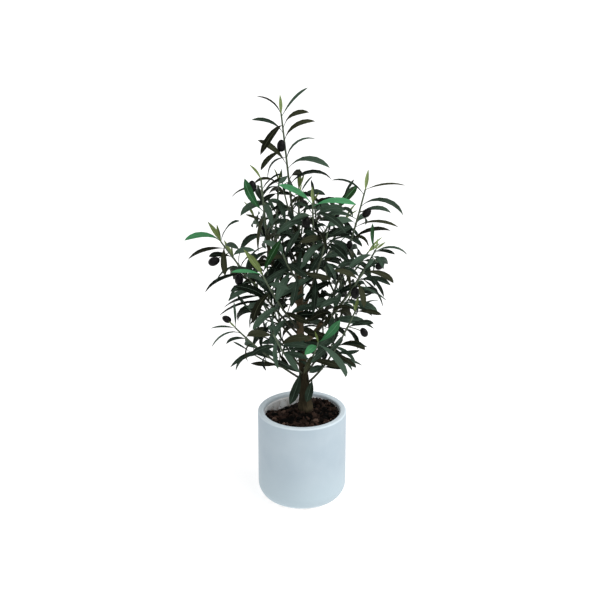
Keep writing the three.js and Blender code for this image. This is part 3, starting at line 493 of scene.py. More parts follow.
def grow_limbs():
    """Every limb as a curve, a radius along it and its steps."""
    foot = SEAT_HEIGHT + GAP
    heights = foot, mix(foot, TRUNK_TOP, 1 / 3), mix(foot, TRUNK_TOP, 2 / 3), TRUNK_TOP
    trunk = Curve(*[(x, y, z) for (x, y), z in zip(TRUNK_WAY, heights)])
    limbs = {"trunk": (trunk, trunk_radius, TRUNK_STEPS)}
    for name, row in BOUGHS.items():
        start = trunk.at(min(row["share"], START_LIMIT))
        limbs[name] = (Curve(start, row["elbow"], row["tip"]), tapered(row["radii"]), BOUGH_STEPS)
    return limbs


LIMBS = grow_limbs()
LIMB_SAMPLES = np.array([
    [*curve.at(i / (2 * steps)), radius_at(i / (2 * steps)) + LIMB_CLEAR]
    for curve, radius_at, steps in LIMBS.values() for i in range(2 * steps + 1)
])


class Space:
    """Places already taken, as sample points; a point's reach is its distance from the leaf's root."""

    def __init__(self):
        self.taken = []

    def take(self, owner, points, reach):
        box = points.min(0) - CLEAR, points.max(0) + CLEAR
        self.taken.append((owner, points, reach, box))

    def is_free(self, owner, points, reach):
        low, high = points.min(0), points.max(0)
        beyond = points[reach >= ROOT_ZONE]
        for other, theirs, their_reach, (their_low, their_high) in self.taken:
            if (their_low > high).any() or (low > their_high).any():
                continue
            same = other == owner
            mine = beyond if same else points
            near = ((theirs >= low - CLEAR) & (theirs <= high + CLEAR)).all(1)
            if same:
                near &= their_reach >= ROOT_ZONE
            if not near.any() or not len(mine):
                continue
            apart = mine[:, None, :] - theirs[near][None, :, :]
            if ((apart * apart).sum(2) < CLEAR * CLEAR).any():
                return False
        return True


def clears_limbs(points, reach):
    beyond = points[reach >= ROOT_ZONE]
    apart = np.linalg.norm(beyond[:, None, :] - LIMB_SAMPLES[None, :, :3], axis=2)
    return bool((apart > LIMB_SAMPLES[None, :, 3]).all())


def inside_crown(points, floor, rise):
    return bool(((points[:, 2] + rise * points[:, 1] > floor) & (points[:, 2] < CROWN_TOP)).all())


class Leaf:
    """An arc that starts along a direction and bends away from its upper face."""

    def __init__(self, root, along, face, bend, length, width, twist):
        self.root, self.along, self.face = root, along, face
        self.bend, self.length, self.width, self.twist = bend, length, width, twist
        self.kind, self.order, self.nearness = "leaf", None, 1

    def at(self, shares):
        """Places along the midrib."""
        radius, turn = self.length / self.bend, self.bend * np.atleast_1d(shares)
        return (self.root + np.outer(radius * np.sin(turn), self.along)
                - np.outer(radius * (1 - np.cos(turn)), self.face))

    def frame(self, shares):
        """The blade's direction across itself and its upper face, at shares of its length."""
        turn = self.bend * np.atleast_1d(shares)
        side = np.cross(self.along, self.face)
        upper = np.outer(np.cos(turn), self.face) + np.outer(np.sin(turn), self.along)
        turn = (self.twist * np.atleast_1d(shares) * (2 - np.atleast_1d(shares)))[:, None]
        return side * np.cos(turn) + upper * np.sin(turn), upper * np.cos(turn) - side * np.sin(turn)

    def samples(self):
        steps = math.ceil(self.length / SAMPLE)
        shares, offsets = [], []
        for i in range(1, steps + 1):
            half = 0.5 * self.width * float(np.interp(i / steps, *LEAF_OUTLINE))
            columns = math.ceil(half / SAMPLE)
            for column in range(-columns, columns + 1):
                shares.append(i / steps)
                offsets.append(half * column / columns if columns else 0)
        shares, offsets = np.array(shares), np.array(offsets)
        points = self.at(shares) + self.frame(shares)[0] * offsets[:, None]
        return points, shares * self.length * self.nearness


def stem_samples(curve, length, off_root=2 * CLEAR):
    """Points along a stem, and their reaches: their distances from its root, with a length added."""
    steps = math.ceil(length / SAMPLE)
    points = np.array([curve.at(i / steps) for i in range(steps + 1)])
    return points, np.arange(steps + 1) / steps * length + off_root


def outward(place):
    return unit(np.array([place[0], place[1], 0]))


def turned(v, axis, angle):
    """v turned about an axis."""
    cos, sin = math.cos(angle), math.sin(angle)
    return v * cos + np.cross(axis, v) * sin + axis * (axis @ v) * (1 - cos)


def grown_leaf(root, along, tangent, roll, size, bend, towards, twist):
    """A leaf from a root along a direction; it bends away from the stem's tip and the sky, and its blade
    is twisted about its own length so that the upper face turns to a given side."""
    face = FACE_STEM * tangent + FACE_SKY * UP + FACE_SIDE * towards
    face = unit(face - along * (face @ along))
    face = turned(face, along, roll)
    side = np.cross(along, face)
    return Leaf(root, along, face, bend, *size, -np.sign(side @ towards) * twist)


def shown_leaf(root, tip, bend, tangent, roll, twist, slenderness):
    """A leaf from a root to a tip that the picture shows."""
    chord = tip - root
    length = np.linalg.norm(chord) * bend / (2 * math.sin(bend / 2))
    way = unit(chord)
    leaf = grown_leaf(root, way, tangent, roll, (length, length * slenderness), bend, -AWAY, twist)
    cos, sin = math.cos(bend / 2), math.sin(bend / 2)
    leaf.along, leaf.face = way * cos + leaf.face * sin, leaf.face * cos - way * sin
    return leaf


class Spray:
    """One mass of foliage: a stem from its limb, twigs, leaves and olives that keep to their own space."""

    olives, young, shown, brown, green = (), (), (), (), {}

    def __init__(self, row, space):
        self.space = space
        vars(self).update(row)
        limb = LIMBS[row["limb"]][0]
        start, tip = limb.at(min(row["share"], START_LIMIT)), np.array(row["tip"])
        self.curve = Curve(start, mix(start, tip, 0.5) - UP * row["sag"], tip)
        self.leaves, self.twigs, self.fine_twigs, self.olives_at = [], [], [], []
        space.take(self.name, *stem_samples(self.curve, self.curve.length()))

    def place_leaf(self, make_variant, floor=CROWN_FLOOR, rise=FLOOR_RISE):
        """Adds the first variant of a leaf that keeps to free space, or none."""
        for attempt in range(TRIES):
            leaf = make_variant(attempt)
            points, reach = leaf.samples()
            if (inside_crown(points, floor, rise) and clears_limbs(points, reach)
                    and self.space.is_free(self.name, points, reach)):
                self.space.take(self.name, points, reach)
                self.leaves.append(leaf)
                return leaf
        return None

    def grow_shown(self):
        for order, (share, x, y, z, bend, twist, *broad) in enumerate(self.shown):
            slenderness = broad[0] if broad else SHOWN_SLENDERNESS
            root, tangent = self.curve.at(share), self.curve.tangent(share)
            tip = np.array([x, y, z])

            def variant(attempt):
                roll = RETRY["roll"] * attempt * (1 if attempt % 2 else -1)
                return shown_leaf(root, tip, math.radians(bend), tangent, roll, twist, slenderness)

            leaf = self.place_leaf(variant, RIM_FLOOR, 0)
            if leaf:
                leaf.order = order

    def grow_young(self, draw):
        """Young leaves at the tip: those that the picture shows, or else a grown pair."""
        root, tangent = self.curve.at(1), self.curve.tangent(1)
        for tip in self.young:
            def variant(attempt):
                roll = RETRY["roll"] * attempt
                form = YOUNG_TWIST, YOUNG_SLENDERNESS
                leaf = shown_leaf(root, np.array(tip), YOUNG_BEND, tangent, roll, *form)
                leaf.nearness = YOUNG_NEARNESS
                return leaf

            leaf = self.place_leaf(variant)
            if leaf:
                leaf.kind = "young"
        if not self.young:
            self.grow_tip(self.curve, draw, 2, "young" if self.tip[1] > PALE_TIPS else "leaf")

    def grow_olives(self):
        for share, x, y, z, *form in self.olives:
            lean, size = form or (0, 1)
            root = self.curve.at(share)
            centre = root + np.array([x, y, z])
            self.olives_at.append((root, centre, lean, size))
            points = np.array([
                (-math.cos(turn) * math.sin(lie), math.cos(lie), math.sin(turn) * math.sin(lie))
                for lie in np.linspace(0, math.pi, FRUIT_RINGS)
                for turn in np.linspace(0, 2 * math.pi, FRUIT_POINTS)
            ]) * OLIVE_RADIUS * size + centre
            self.space.take(self.name, points, np.full(len(points), 2 * ROOT_ZONE))

    def grow_tip(self, curve, draw, count, kind):
        """Small leaves at a stem's tip: one that carries the stem on, and a smaller one beside it."""
        root, tangent = curve.at(1), curve.tangent(1)
        side, away = across(tangent)
        for i in range(count):
            angle = YOUNG_TURN * draw()

            def variant(attempt):
                lean = YOUNG_LEANS[i] + RETRY["lean"] * attempt
                along = unit(tangent + side * (lean * math.cos(angle)) + away * (lean * math.sin(angle)))
                length = YOUNG_LENGTH * YOUNG_SCALES[i]
                size = length, length * YOUNG_SLENDERNESS
                roll = YOUNG_ROLL * draw()
                leaf = grown_leaf(root, along, tangent, roll, size, YOUNG_BEND, outward(root), YOUNG_TWIST)
                leaf.nearness = YOUNG_NEARNESS
                return leaf

            leaf = self.place_leaf(variant)
            if leaf:
                leaf.kind = kind

    def free_twig(self, share, first_turn, length, rise, sag=0, off_root=0):
        """A twig from a share of the stem, turned about it until it keeps to free space, or none."""
        root, tangent = self.curve.at(share), self.curve.tangent(share)
        side, away = across(tangent)
        for attempt in range(TRIES):
            angle = first_turn + RETRY["twig_turn"] * attempt
            off = math.cos(angle) * side + math.sin(angle) * away
            tip = root + (TWIG_ALONG * tangent + TWIG_OFF * off) * length + UP * rise
            curve = Curve(root, mix(root, tip, 0.5) - UP * sag, tip)
            points, reach = stem_samples(curve, length, off_root)
            if clears_limbs(points, reach) and self.space.is_free(self.name, points, reach):
                self.space.take(self.name, points, reach)
                return curve
        return None

    def grow_twigs(self, draw):
        for _ in range(self.twig_count):
            share = mix(self.bare, TWIG_LAST, TWIG_MIDDLE + TWIG_VARIES * draw())
            twig = self.free_twig(share, math.pi * draw(), TWIG_LENGTH, TWIG_RISE, TWIG_SAG, 2 * CLEAR)
            if twig:
                self.twigs.append((twig, math.pi * draw()))

    def grow_pair(self, curve, share, turn, draw, scale):
        """A pair of leaves on opposite sides of a stem."""
        root, tangent = curve.at(share), curve.tangent(share)
        side, away = across(tangent)
        for half in (0, math.pi):
            vary = {what: reach * draw() for what, reach in PAIR_VARIES.items()}

            def variant(attempt):
                swing = vary["turn"] * (1 + RETRY["turn"] * attempt) * (-1 if attempt % 2 else 1)
                angle = turn + half + swing
                spread = math.radians(mix(*PAIR_SPREAD, share) + vary["spread"] - RETRY["spread"] * attempt)
                along = (tangent * math.cos(spread) + side * (math.sin(spread) * math.cos(angle))
                         + away * (math.sin(spread) * math.sin(angle)))
                length = LEAF_LENGTH * scale * (1 + vary["length"]) * (1 - RETRY["length"] * attempt)
                size = length, length * LEAF_SLENDERNESS
                bend = math.radians(PAIR_BEND + vary["bend"])
                twist = PAIR_TWIST + vary["twist"]
                return grown_leaf(root, along, tangent, vary["roll"], size, bend, outward(root), twist)

            self.place_leaf(variant)

    def grow_pairs(self, draw):
        for i in reversed(range(self.pairs)):
            share = mix(self.bare, self.reach, (i + 0.5) / self.pairs)
            turn = math.radians(self.turn) + i % 2 * math.pi / 2
            self.grow_pair(self.curve, share, turn, draw, LAST_SCALE if share > LAST_PAIR else 1)
        for curve, turn in self.twigs:
            for i, share in enumerate(TWIG_PAIRS):
                self.grow_pair(curve, share, turn + i * math.pi / 2, draw, TWIG_SCALE)
            self.grow_tip(curve, draw, 1, "leaf")

    def grow_fine_twig(self, draw):
        """A finest twig, where there is still room: a pair of small leaves and one at the tip."""
        root = self.curve.at(FINE_START)
        if math.hypot(*root[:2]) > FINE_REACH or root[2] > FINE_TOP:
            return
        twig = self.free_twig(FINE_START, math.pi * draw(), FINE_LENGTH, FINE_RISE)
        if twig:
            self.fine_twigs.append(twig)
            self.grow_pair(twig, FINE_PAIR, math.pi * draw(), draw, FINE_SCALE)
            self.grow_tip(twig, draw, 1, "leaf")


def grow_sprays():
    space = Space()
    sprays = [Spray(row, space) for row in SPRAYS]
    for spray in sprays:
        spray.grow_shown()
    for spray in sprays:
        spray.grow_olives()
    for spray in sprays:
        spray.grow_young(random_from(spray.seed + TIP_STREAM))
    for spray in sprays:
        spray.grow_twigs(random_from(spray.seed + TWIG_STREAM))
    for spray in sprays:
        spray.grow_pairs(random_from(spray.seed))
    for spray in sprays:
        spray.grow_fine_twig(random_from(spray.seed + FINE_STREAM))
    return sprays


# How near two places are when they count as one
CLOSE = 1e-5

# Rounds of the pot's edges, and the smallest upward share of a face's normal that counts as facing up
FOOT_STEPS = 14
LIP_STEPS = 6
LEDGE_ROUND = 0.0005
LEDGE_STEPS = 2
FACES_UP = 0.9

# Leaf blades: the shares of the length at which they have their widths, their thickness, their groove,
# how far their sides fold up, and how far out and up the line between midrib and edge lies
BLADE_SHARES = np.array([0, 0.07, 0.15, 0.27, 0.41, 0.55, 0.69, 0.82, 0.92, 1])
BLADE_WIDTHS = np.array([0.14, 0.11, 0.24, 0.58, 0.86, 0.99, 1.0, 0.8, 0.44, 0])
YOUNG_WIDTHS = np.array([0.3, 0.34, 0.5, 0.78, 0.97, 1.0, 0.84, 0.56, 0.28, 0])
BLADE_THICK = 0.0006
RIB_GROOVE = 0.0003
BLADE_FOLD, FOLD_VARIES, YOUNG_FOLD = 0.2, 0.16, 0.3
MIDLINE_OUT, MIDLINE_UP = 0.52, 0.07

# Stems, twigs and stalks: their sides and rings, the shares of the way from foot colour to tip colour,
# and how far, how long and how sharply a stem swells where its leaves stand
STEM_SIDES = 8
STEM_RINGS, TWIG_RINGS, FINE_RINGS, STALK_RINGS = 12, 7, 4, 5
STEM_TONES, TWIG_TONES, FINE_TONES, STALK_TONES = (0, 1), (0.5, 1), (0.6, 1), (0.8, 1)
NODE_SWELL = 0.28
NODE_LENGTH = 0.0022
NODE_SHARPNESS = 1.6
STALK_ARCH = 0.003

# Olives: how finely they are made, and how much narrower they are at the tip
OLIVE_SEGMENTS = 20
OLIVE_RINGS = 14
OLIVE_BLUNT = 0.09

# Skin of the trunk and boughs: how finely it is made, how its forks are smoothed, and the depth and
# scale of its ridges and grain, which run lengthwise
LIMB_ROUNDNESS = 10
LIMB_FINENESS = 4
BARK_VOXEL = 0.0009
FORK_ROUNDS = 4
FORK_SMOOTHING = 0.5
RIDGE_DEPTH = 0.0005
RIDGE_SCALE = (420, 420, 42)
GRAIN_DEPTH = 0.0002
GRAIN_SCALE = (1300, 1300, 150)

# Bed of the filling: its sides and rings, its crumbs, and the share of the seat that stays level
SOIL_SIDES = 96
SOIL_RINGS = 22
CRUMB_SCALE = 190
CRUMB_HEIGHT = 0.0012
LEVEL_SEAT = 0.9

# Bark lumps: how many, and each one's least length and what a draw adds to it, its width and height as
# shares of that and what a draw adds, how round, uneven and tilted it is, how high it sits in the
# filling, how far it stays from the wall and how near it comes to the trunk
CHIP_SEED = 4242
CHIP_COUNT = 900
CHIP_LENGTH = (0.0026, 0.0068)
CHIP_WIDTH = (0.7, 0.22)
CHIP_HEIGHT = (0.5, 0.15)
CHIP_ROUNDNESS = 0.7
CHIP_UNEVEN = 0.2
CHIP_TILT = 0.7
CHIP_SITS = (0.25, 0.5)
CHIP_OFF_WALL = 0.75
CHIP_AT_TRUNK = 0.001


def soil_height(x, y):
    """How high the filling stands at a place: level on the trunk's seat, lower towards the back left."""
    reach = math.hypot(x - TRUNK_X, y)
    turn = math.atan2(y, x - TRUNK_X) - math.radians(SOIL_LOW_SIDE)
    drop = SOIL_DROP + SOIL_DIP * max(0, math.cos(turn)) ** SOIL_NARROW
    along = min(1, max(0, (reach - SEAT_RADIUS) / (INNER_RADIUS - SOIL_MARGIN - SEAT_RADIUS)))
    slope = along * along * (3 - 2 * along)
    (wave_across, start_across), (wave_away, start_away) = SOIL_WAVES
    lumps = SOIL_LUMP * math.sin(wave_across * x + start_across) * math.cos(wave_away * y + start_away)
    return SEAT_HEIGHT - slope * drop + min(1, slope * SOIL_SET_IN) * lumps


def select_only(*objects):
    bpy.ops.object.select_all(action="DESELECT")
    for obj in objects:
        obj.select_set(True)
    bpy.context.view_layer.objects.active = objects[0]


def name_new(name):
    """Names the object that an operator has just added, and puts its place into its mesh."""
    obj = bpy.context.object
    obj.name = obj.data.name = name
    bpy.ops.object.transform_apply(location=True, rotation=True, scale=True)
    return obj


def pick(obj, kind, test):
    """Selects in edit mode only the faces or edges that a test of their places and normal allows."""
    bpy.ops.mesh.select_mode(type=kind)
    bpy.ops.mesh.select_all(action="DESELECT")
    mesh = bmesh.from_edit_mesh(obj.data)
    for item in mesh.faces if kind == "FACE" else mesh.edges:
        places = [v.co for v in item.verts]
        item.select_set(test(places, item.normal if kind == "FACE" else None))
    bmesh.update_edit_mesh(obj.data)


def finish_piece(obj, slot, nodes, materials, smooth_angle):
    """Gives a piece its shading and its materials, hangs it from the root body and hides the parts it
    stands for.
    """
    select_only(obj)
    bpy.ops.object.shade_smooth_by_angle(angle=math.radians(smooth_angle))
    obj.data.materials.clear()
    for material in materials:
        obj.data.materials.append(material)
    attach(obj, "root")
    if nodes:
        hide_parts(*nodes)


def make_pot():
    """Round pot: rounded foot, straight side, rounded lip, and the ledge of its liner inside."""
    bpy.ops.object.select_all(action="DESELECT")
    bpy.ops.mesh.primitive_cylinder_add(
        vertices=POT_SIDES, radius=POT_RADIUS, depth=POT_HEIGHT, location=(0, 0, POT_HEIGHT / 2))
    pot = name_new("pot_shell")
    ledge_top = POT_HEIGHT - LEDGE_DROP
    to_floor = LINER_FLOOR - POT_HEIGHT + LEDGE_DROP
    bpy.ops.object.mode_set(mode="EDIT")
    pick(pot, "FACE", lambda places, normal: normal.z > FACES_UP)
    bpy.ops.mesh.inset(thickness=POT_WALL)
    bpy.ops.mesh.extrude_region_move(TRANSFORM_OT_translate={"value": (0, 0, -LEDGE_DROP)})
    bpy.ops.mesh.inset(thickness=LINER_LEDGE)
    bpy.ops.transform.translate(value=(0, 0, -LINER_LEDGE))
    bpy.ops.mesh.extrude_region_move(TRANSFORM_OT_translate={"value": (0, 0, to_floor)})
    pick(pot, "EDGE", lambda places, _: all(abs(p.z) < CLOSE for p in places))
    bpy.ops.mesh.bevel(offset=FOOT_ROUND, segments=FOOT_STEPS, affect="EDGES")
    pick(pot, "EDGE", lambda places, _: all(abs(p.z - POT_HEIGHT) < CLOSE for p in places)
         and abs(places[0].xy.length - places[1].xy.length) < CLOSE)
    bpy.ops.mesh.bevel(offset=LIP_ROUND, segments=LIP_STEPS, affect="EDGES")
    pick(pot, "EDGE", lambda places, _: all(
        ledge_top - LINER_LEDGE - CLOSE < p.z < ledge_top + CLOSE and p.xy.length < INNER_RADIUS + CLOSE
        for p in places) and abs(places[0].z - places[1].z) < CLOSE)
    bpy.ops.mesh.bevel(offset=LEDGE_ROUND, segments=LEDGE_STEPS, affect="EDGES")
    bpy.ops.object.mode_set(mode="OBJECT")
    finish_piece(pot, "pot", ["pot"], [pot_finish()], smooth_angle=35)


def make_soil():
    """Filling of the pot: a plug whose top is lumpy, higher round the trunk and lower at the back left."""
    bottom, radius = LINER_FLOOR + LEDGE_DROP, INNER_RADIUS - LINER_LEDGE - GAP
    bpy.ops.object.select_all(action="DESELECT")
    bpy.ops.mesh.primitive_cylinder_add(
        vertices=SOIL_SIDES, radius=radius, depth=SEAT_HEIGHT - bottom,
        location=(0, 0, (SEAT_HEIGHT + bottom) / 2))
    soil = name_new("soil_bed")
    bpy.ops.object.mode_set(mode="EDIT")
    pick(soil, "FACE", lambda places, normal: normal.z > FACES_UP)
    for _ in range(SOIL_RINGS):
        bpy.ops.mesh.inset(thickness=radius / (SOIL_RINGS + 1))
    bpy.ops.object.mode_set(mode="OBJECT")
    for vertex in soil.data.vertices:
        x, y, z = vertex.co
        if z > SEAT_HEIGHT - CLOSE:
            crumbs = noise.noise(Vector((x, y, 0)) * CRUMB_SCALE) * CRUMB_HEIGHT
            off_seat = min(1, max(0, math.hypot(x - TRUNK_X, y) / SEAT_RADIUS - LEVEL_SEAT))
            vertex.co.z = soil_height(x, y) + crumbs * off_seat
    finish_piece(soil, "soil", ["soil"], [soil_finish()], smooth_angle=60)


def make_chips():
    """Bark lumps and crumbs on the filling: rounded blocks with uneven corners."""
    draw = random_from(CHIP_SEED)
    bpy.ops.object.select_all(action="DESELECT")
    bpy.ops.mesh.primitive_cube_add(size=1)
    pattern = bpy.context.object
    bpy.ops.object.mode_set(mode="EDIT")
    bpy.ops.mesh.subdivide(number_cuts=1, smoothness=CHIP_ROUNDNESS)
    bpy.ops.object.mode_set(mode="OBJECT")
    corners = np.array([vertex.co for vertex in pattern.data.vertices])
    sides = [tuple(face.vertices) for face in pattern.data.polygons]
    bpy.ops.object.delete()
    heap = Heap()
    reach_limit = INNER_RADIUS - LINER_LEDGE - GAP
    for _ in range(CHIP_COUNT):
        length = CHIP_LENGTH[0] + CHIP_LENGTH[1] * abs(draw()) ** 2
        width, height = [length * (least + varies * draw()) for least, varies in (CHIP_WIDTH, CHIP_HEIGHT)]
        reach = (reach_limit - length * CHIP_OFF_WALL) * math.sqrt(abs(draw()))
        turn = math.pi * draw()
        x, y = reach * math.cos(turn), reach * math.sin(turn)
        if math.hypot(x - TRUNK_X, y) < TRUNK_RADII[0][1] - CHIP_AT_TRUNK:
            continue
        uneven = np.array([[draw() for _ in range(3)] for _ in corners])
        block = corners * (1 + CHIP_UNEVEN * uneven) * (length, width, height)
        tilt = Matrix.Rotation(CHIP_TILT * draw(), 3, "X") @ Matrix.Rotation(CHIP_TILT * draw(), 3, "Y")
        block = block @ np.array(Matrix.Rotation(math.pi * draw(), 3, "Z") @ tilt).T
        rise = height * (CHIP_SITS[0] + CHIP_SITS[1] * abs(draw()))
        place = np.array([x, y, soil_height(x, y) + rise])
        heap.add(block + place, sides, np.zeros((len(block), 2)), np.full(len(block), draw()))
    finish_piece(heap.make("bark_chips"), "soil", [], [chip_finish()], smooth_angle=50)


def make_limbs():
    """Trunk and boughs in one skin, with the ridges and cracks of the bark in their surface."""
    parts = []
    for name, (curve, radius_at, steps) in LIMBS.items():
        bpy.ops.object.select_all(action="DESELECT")
        bpy.ops.curve.primitive_bezier_curve_add()
        limb = bpy.context.object
        start, *middle, end = [Vector(p) for p in curve.points]
        handles = middle if len(middle) == 2 else [start.lerp(middle[0], 2 / 3), end.lerp(middle[0], 2 / 3)]
        first, last = limb.data.splines[0].bezier_points
        for point, place, left, right in ((first, start, start, handles[0]), (last, end, handles[1], end)):
            point.handle_left_type = point.handle_right_type = "FREE"
            point.co, point.handle_left, point.handle_right = place, left, right
        limb.location = 0, 0, 0
        cuts = 2 * steps - 1
        bpy.ops.object.mode_set(mode="EDIT")
        bpy.ops.curve.select_all(action="SELECT")
        bpy.ops.curve.subdivide(number_cuts=cuts)
        bpy.ops.object.mode_set(mode="OBJECT")
        for i, point in enumerate(limb.data.splines[0].bezier_points):
            point.radius = radius_at(i / (cuts + 1))
        limb.data.bevel_depth = 1
        limb.data.bevel_resolution = LIMB_ROUNDNESS
        limb.data.resolution_u = LIMB_FINENESS
        limb.data.use_fill_caps = True
        bpy.ops.object.convert(target="MESH")
        parts.append(bpy.context.object)
    select_only(*parts)
    bpy.ops.object.join()
    limbs = name_new("trunk_and_boughs")
    remesh = limbs.modifiers.new("one skin", "REMESH")
    remesh.mode, remesh.voxel_size = "VOXEL", BARK_VOXEL
    bpy.ops.object.modifier_apply(modifier=remesh.name)
    smooth = limbs.modifiers.new("soft forks", "CORRECTIVE_SMOOTH")
    smooth.use_only_smooth = True
    smooth.iterations, smooth.factor = FORK_ROUNDS, FORK_SMOOTHING
    bpy.ops.object.modifier_apply(modifier=smooth.name)
    normals = [vertex.normal.copy() for vertex in limbs.data.vertices]
    for vertex, normal in zip(limbs.data.vertices, normals):
        ridges = noise.noise(Vector([c * scale for c, scale in zip(vertex.co, RIDGE_SCALE)]))
        grain = noise.noise(Vector([c * scale for c, scale in zip(vertex.co, GRAIN_SCALE)]))
        vertex.co += normal * (RIDGE_DEPTH * ridges + GRAIN_DEPTH * grain)
    finish_piece(limbs, "bark", list(LIMBS), [bark_finish()], smooth_angle=180)


class Heap:
    """Many small shapes gathered into one mesh, with a UV map, a tone and the number of their material."""

    def __init__(self):
        self.places, self.faces, self.uvs, self.tones, self.materials = [], [], [], [], []
        self.count = 0

    def add(self, places, faces, uvs, tones, material=0):
        self.places.append(places)
        self.uvs.append(uvs)
        self.tones.append(tones)
        self.faces += [[corner + self.count for corner in face] for face in faces]
        self.materials += material if isinstance(material, list) else [material] * len(faces)
        self.count += len(places)

    def make(self, name):
        mesh = bpy.data.meshes.new(name)
        mesh.from_pydata(np.concatenate(self.places).tolist(), [], self.faces)
        mesh.polygons.foreach_set("material_index", self.materials)
        tone = mesh.attributes.new("tone", "FLOAT", "POINT")
        tone.data.foreach_set("value", np.concatenate(self.tones).astype(np.float32))
        corner = np.zeros(len(mesh.loops), np.int32)
        mesh.loops.foreach_get("vertex_index", corner)
        uv = mesh.uv_layers.new(name="along the piece")
        uv.data.foreach_set("uv", np.concatenate(self.uvs)[corner].astype(np.float32).ravel())
        obj = bpy.data.objects.new(name, mesh)
        bpy.context.collection.objects.link(obj)
        return obj


def add_blade(heap, leaf, tone, fold):
    """A leaf blade: a narrow foot, a lens outline, a groove along the midrib and a paler underside."""
    widths = YOUNG_WIDTHS if leaf.kind == "young" else BLADE_WIDTHS
    centre = leaf.at(BLADE_SHARES)
    side, upper = leaf.frame(BLADE_SHARES)
    half = (0.5 * leaf.width * widths)[:, None]
    groove = RIB_GROOVE * np.minimum(1, widths * 2)[:, None]
    midline_up = MIDLINE_OUT * fold + MIDLINE_UP
    # Each row of the blade has five places on its upper side and one below the midrib
    columns = [
        centre - side * half + upper * half * fold,
        centre - side * half * MIDLINE_OUT + upper * half * midline_up,
        centre - upper * groove,
        centre + side * half * MIDLINE_OUT + upper * half * midline_up,
        centre + side * half + upper * half * fold,
        centre - upper * (groove + BLADE_THICK),
    ]
    rows = np.stack(columns, 1)
    body, tip = rows[:-1].reshape(-1, 3), centre[-1:]
    across_blade = [0, (1 - MIDLINE_OUT) / 2, 0.5, (1 + MIDLINE_OUT) / 2, 1, 0.5]
    uvs = [(u, share) for share in BLADE_SHARES[:-1] for u in across_blade] + [(0.5, 1)]
    faces, materials = [[5, 4, 3, 2, 1, 0]], [1]
    last = len(BLADE_SHARES) - 2
    for row in range(last):
        here, there = 6 * row, 6 * row + 6
        for a in range(4):
            faces.append([here + a, here + a + 1, there + a + 1, there + a])
        faces.append([here, there, there + 5, here + 5])
        faces.append([here + 5, there + 5, there + 4, here + 4])
        materials += [0, 0, 0, 0, 1, 1]
    here, end = 6 * last, 6 * last + 6
    faces += [[here + a, here + a + 1, end] for a in range(4)]
    faces += [[here, end, here + 5], [here + 5, end, here + 4]]
    materials += [0, 0, 0, 0, 1, 1]
    heap.add(np.concatenate([body, tip]), faces, np.array(uvs), np.full(len(body) + 1, tone), materials)


def add_rod(heap, curve, radius_at, shares, tones):
    """A round stem along a curve, closed at both ends."""
    turn = np.arange(STEM_SIDES) * 2 * math.pi / STEM_SIDES
    rings, uvs, values = [], [], []
    for share in shares:
        side, away = across(curve.tangent(share))
        ring = np.outer(np.cos(turn), side) + np.outer(np.sin(turn), away)
        rings.append(curve.at(share) + ring * radius_at(share))
        uvs += [(t / (2 * math.pi), share) for t in turn]
        values += [mix(*tones, share)] * STEM_SIDES
    faces = []
    for i in range(len(shares) - 1):
        for a in range(STEM_SIDES):
            b = (a + 1) % STEM_SIDES
            here, there = STEM_SIDES * i, STEM_SIDES * (i + 1)
            faces.append([here + a, here + b, there + b, there + a])
    last = STEM_SIDES * (len(shares) - 1)
    faces.append(list(reversed(range(STEM_SIDES))))
    faces.append([last + a for a in range(STEM_SIDES)])
    heap.add(np.concatenate(rings), faces, np.array(uvs), np.array(values))


def paint(red, green, blue):
    """A colour from its 0 to 255 screen values, as the linear colour that a shader takes."""
    values = [v / 255 for v in (red, green, blue)]
    return (*[v / 12.92 if v < 0.04045 else ((v + 0.055) / 1.055) ** 2.4 for v in values], 1)


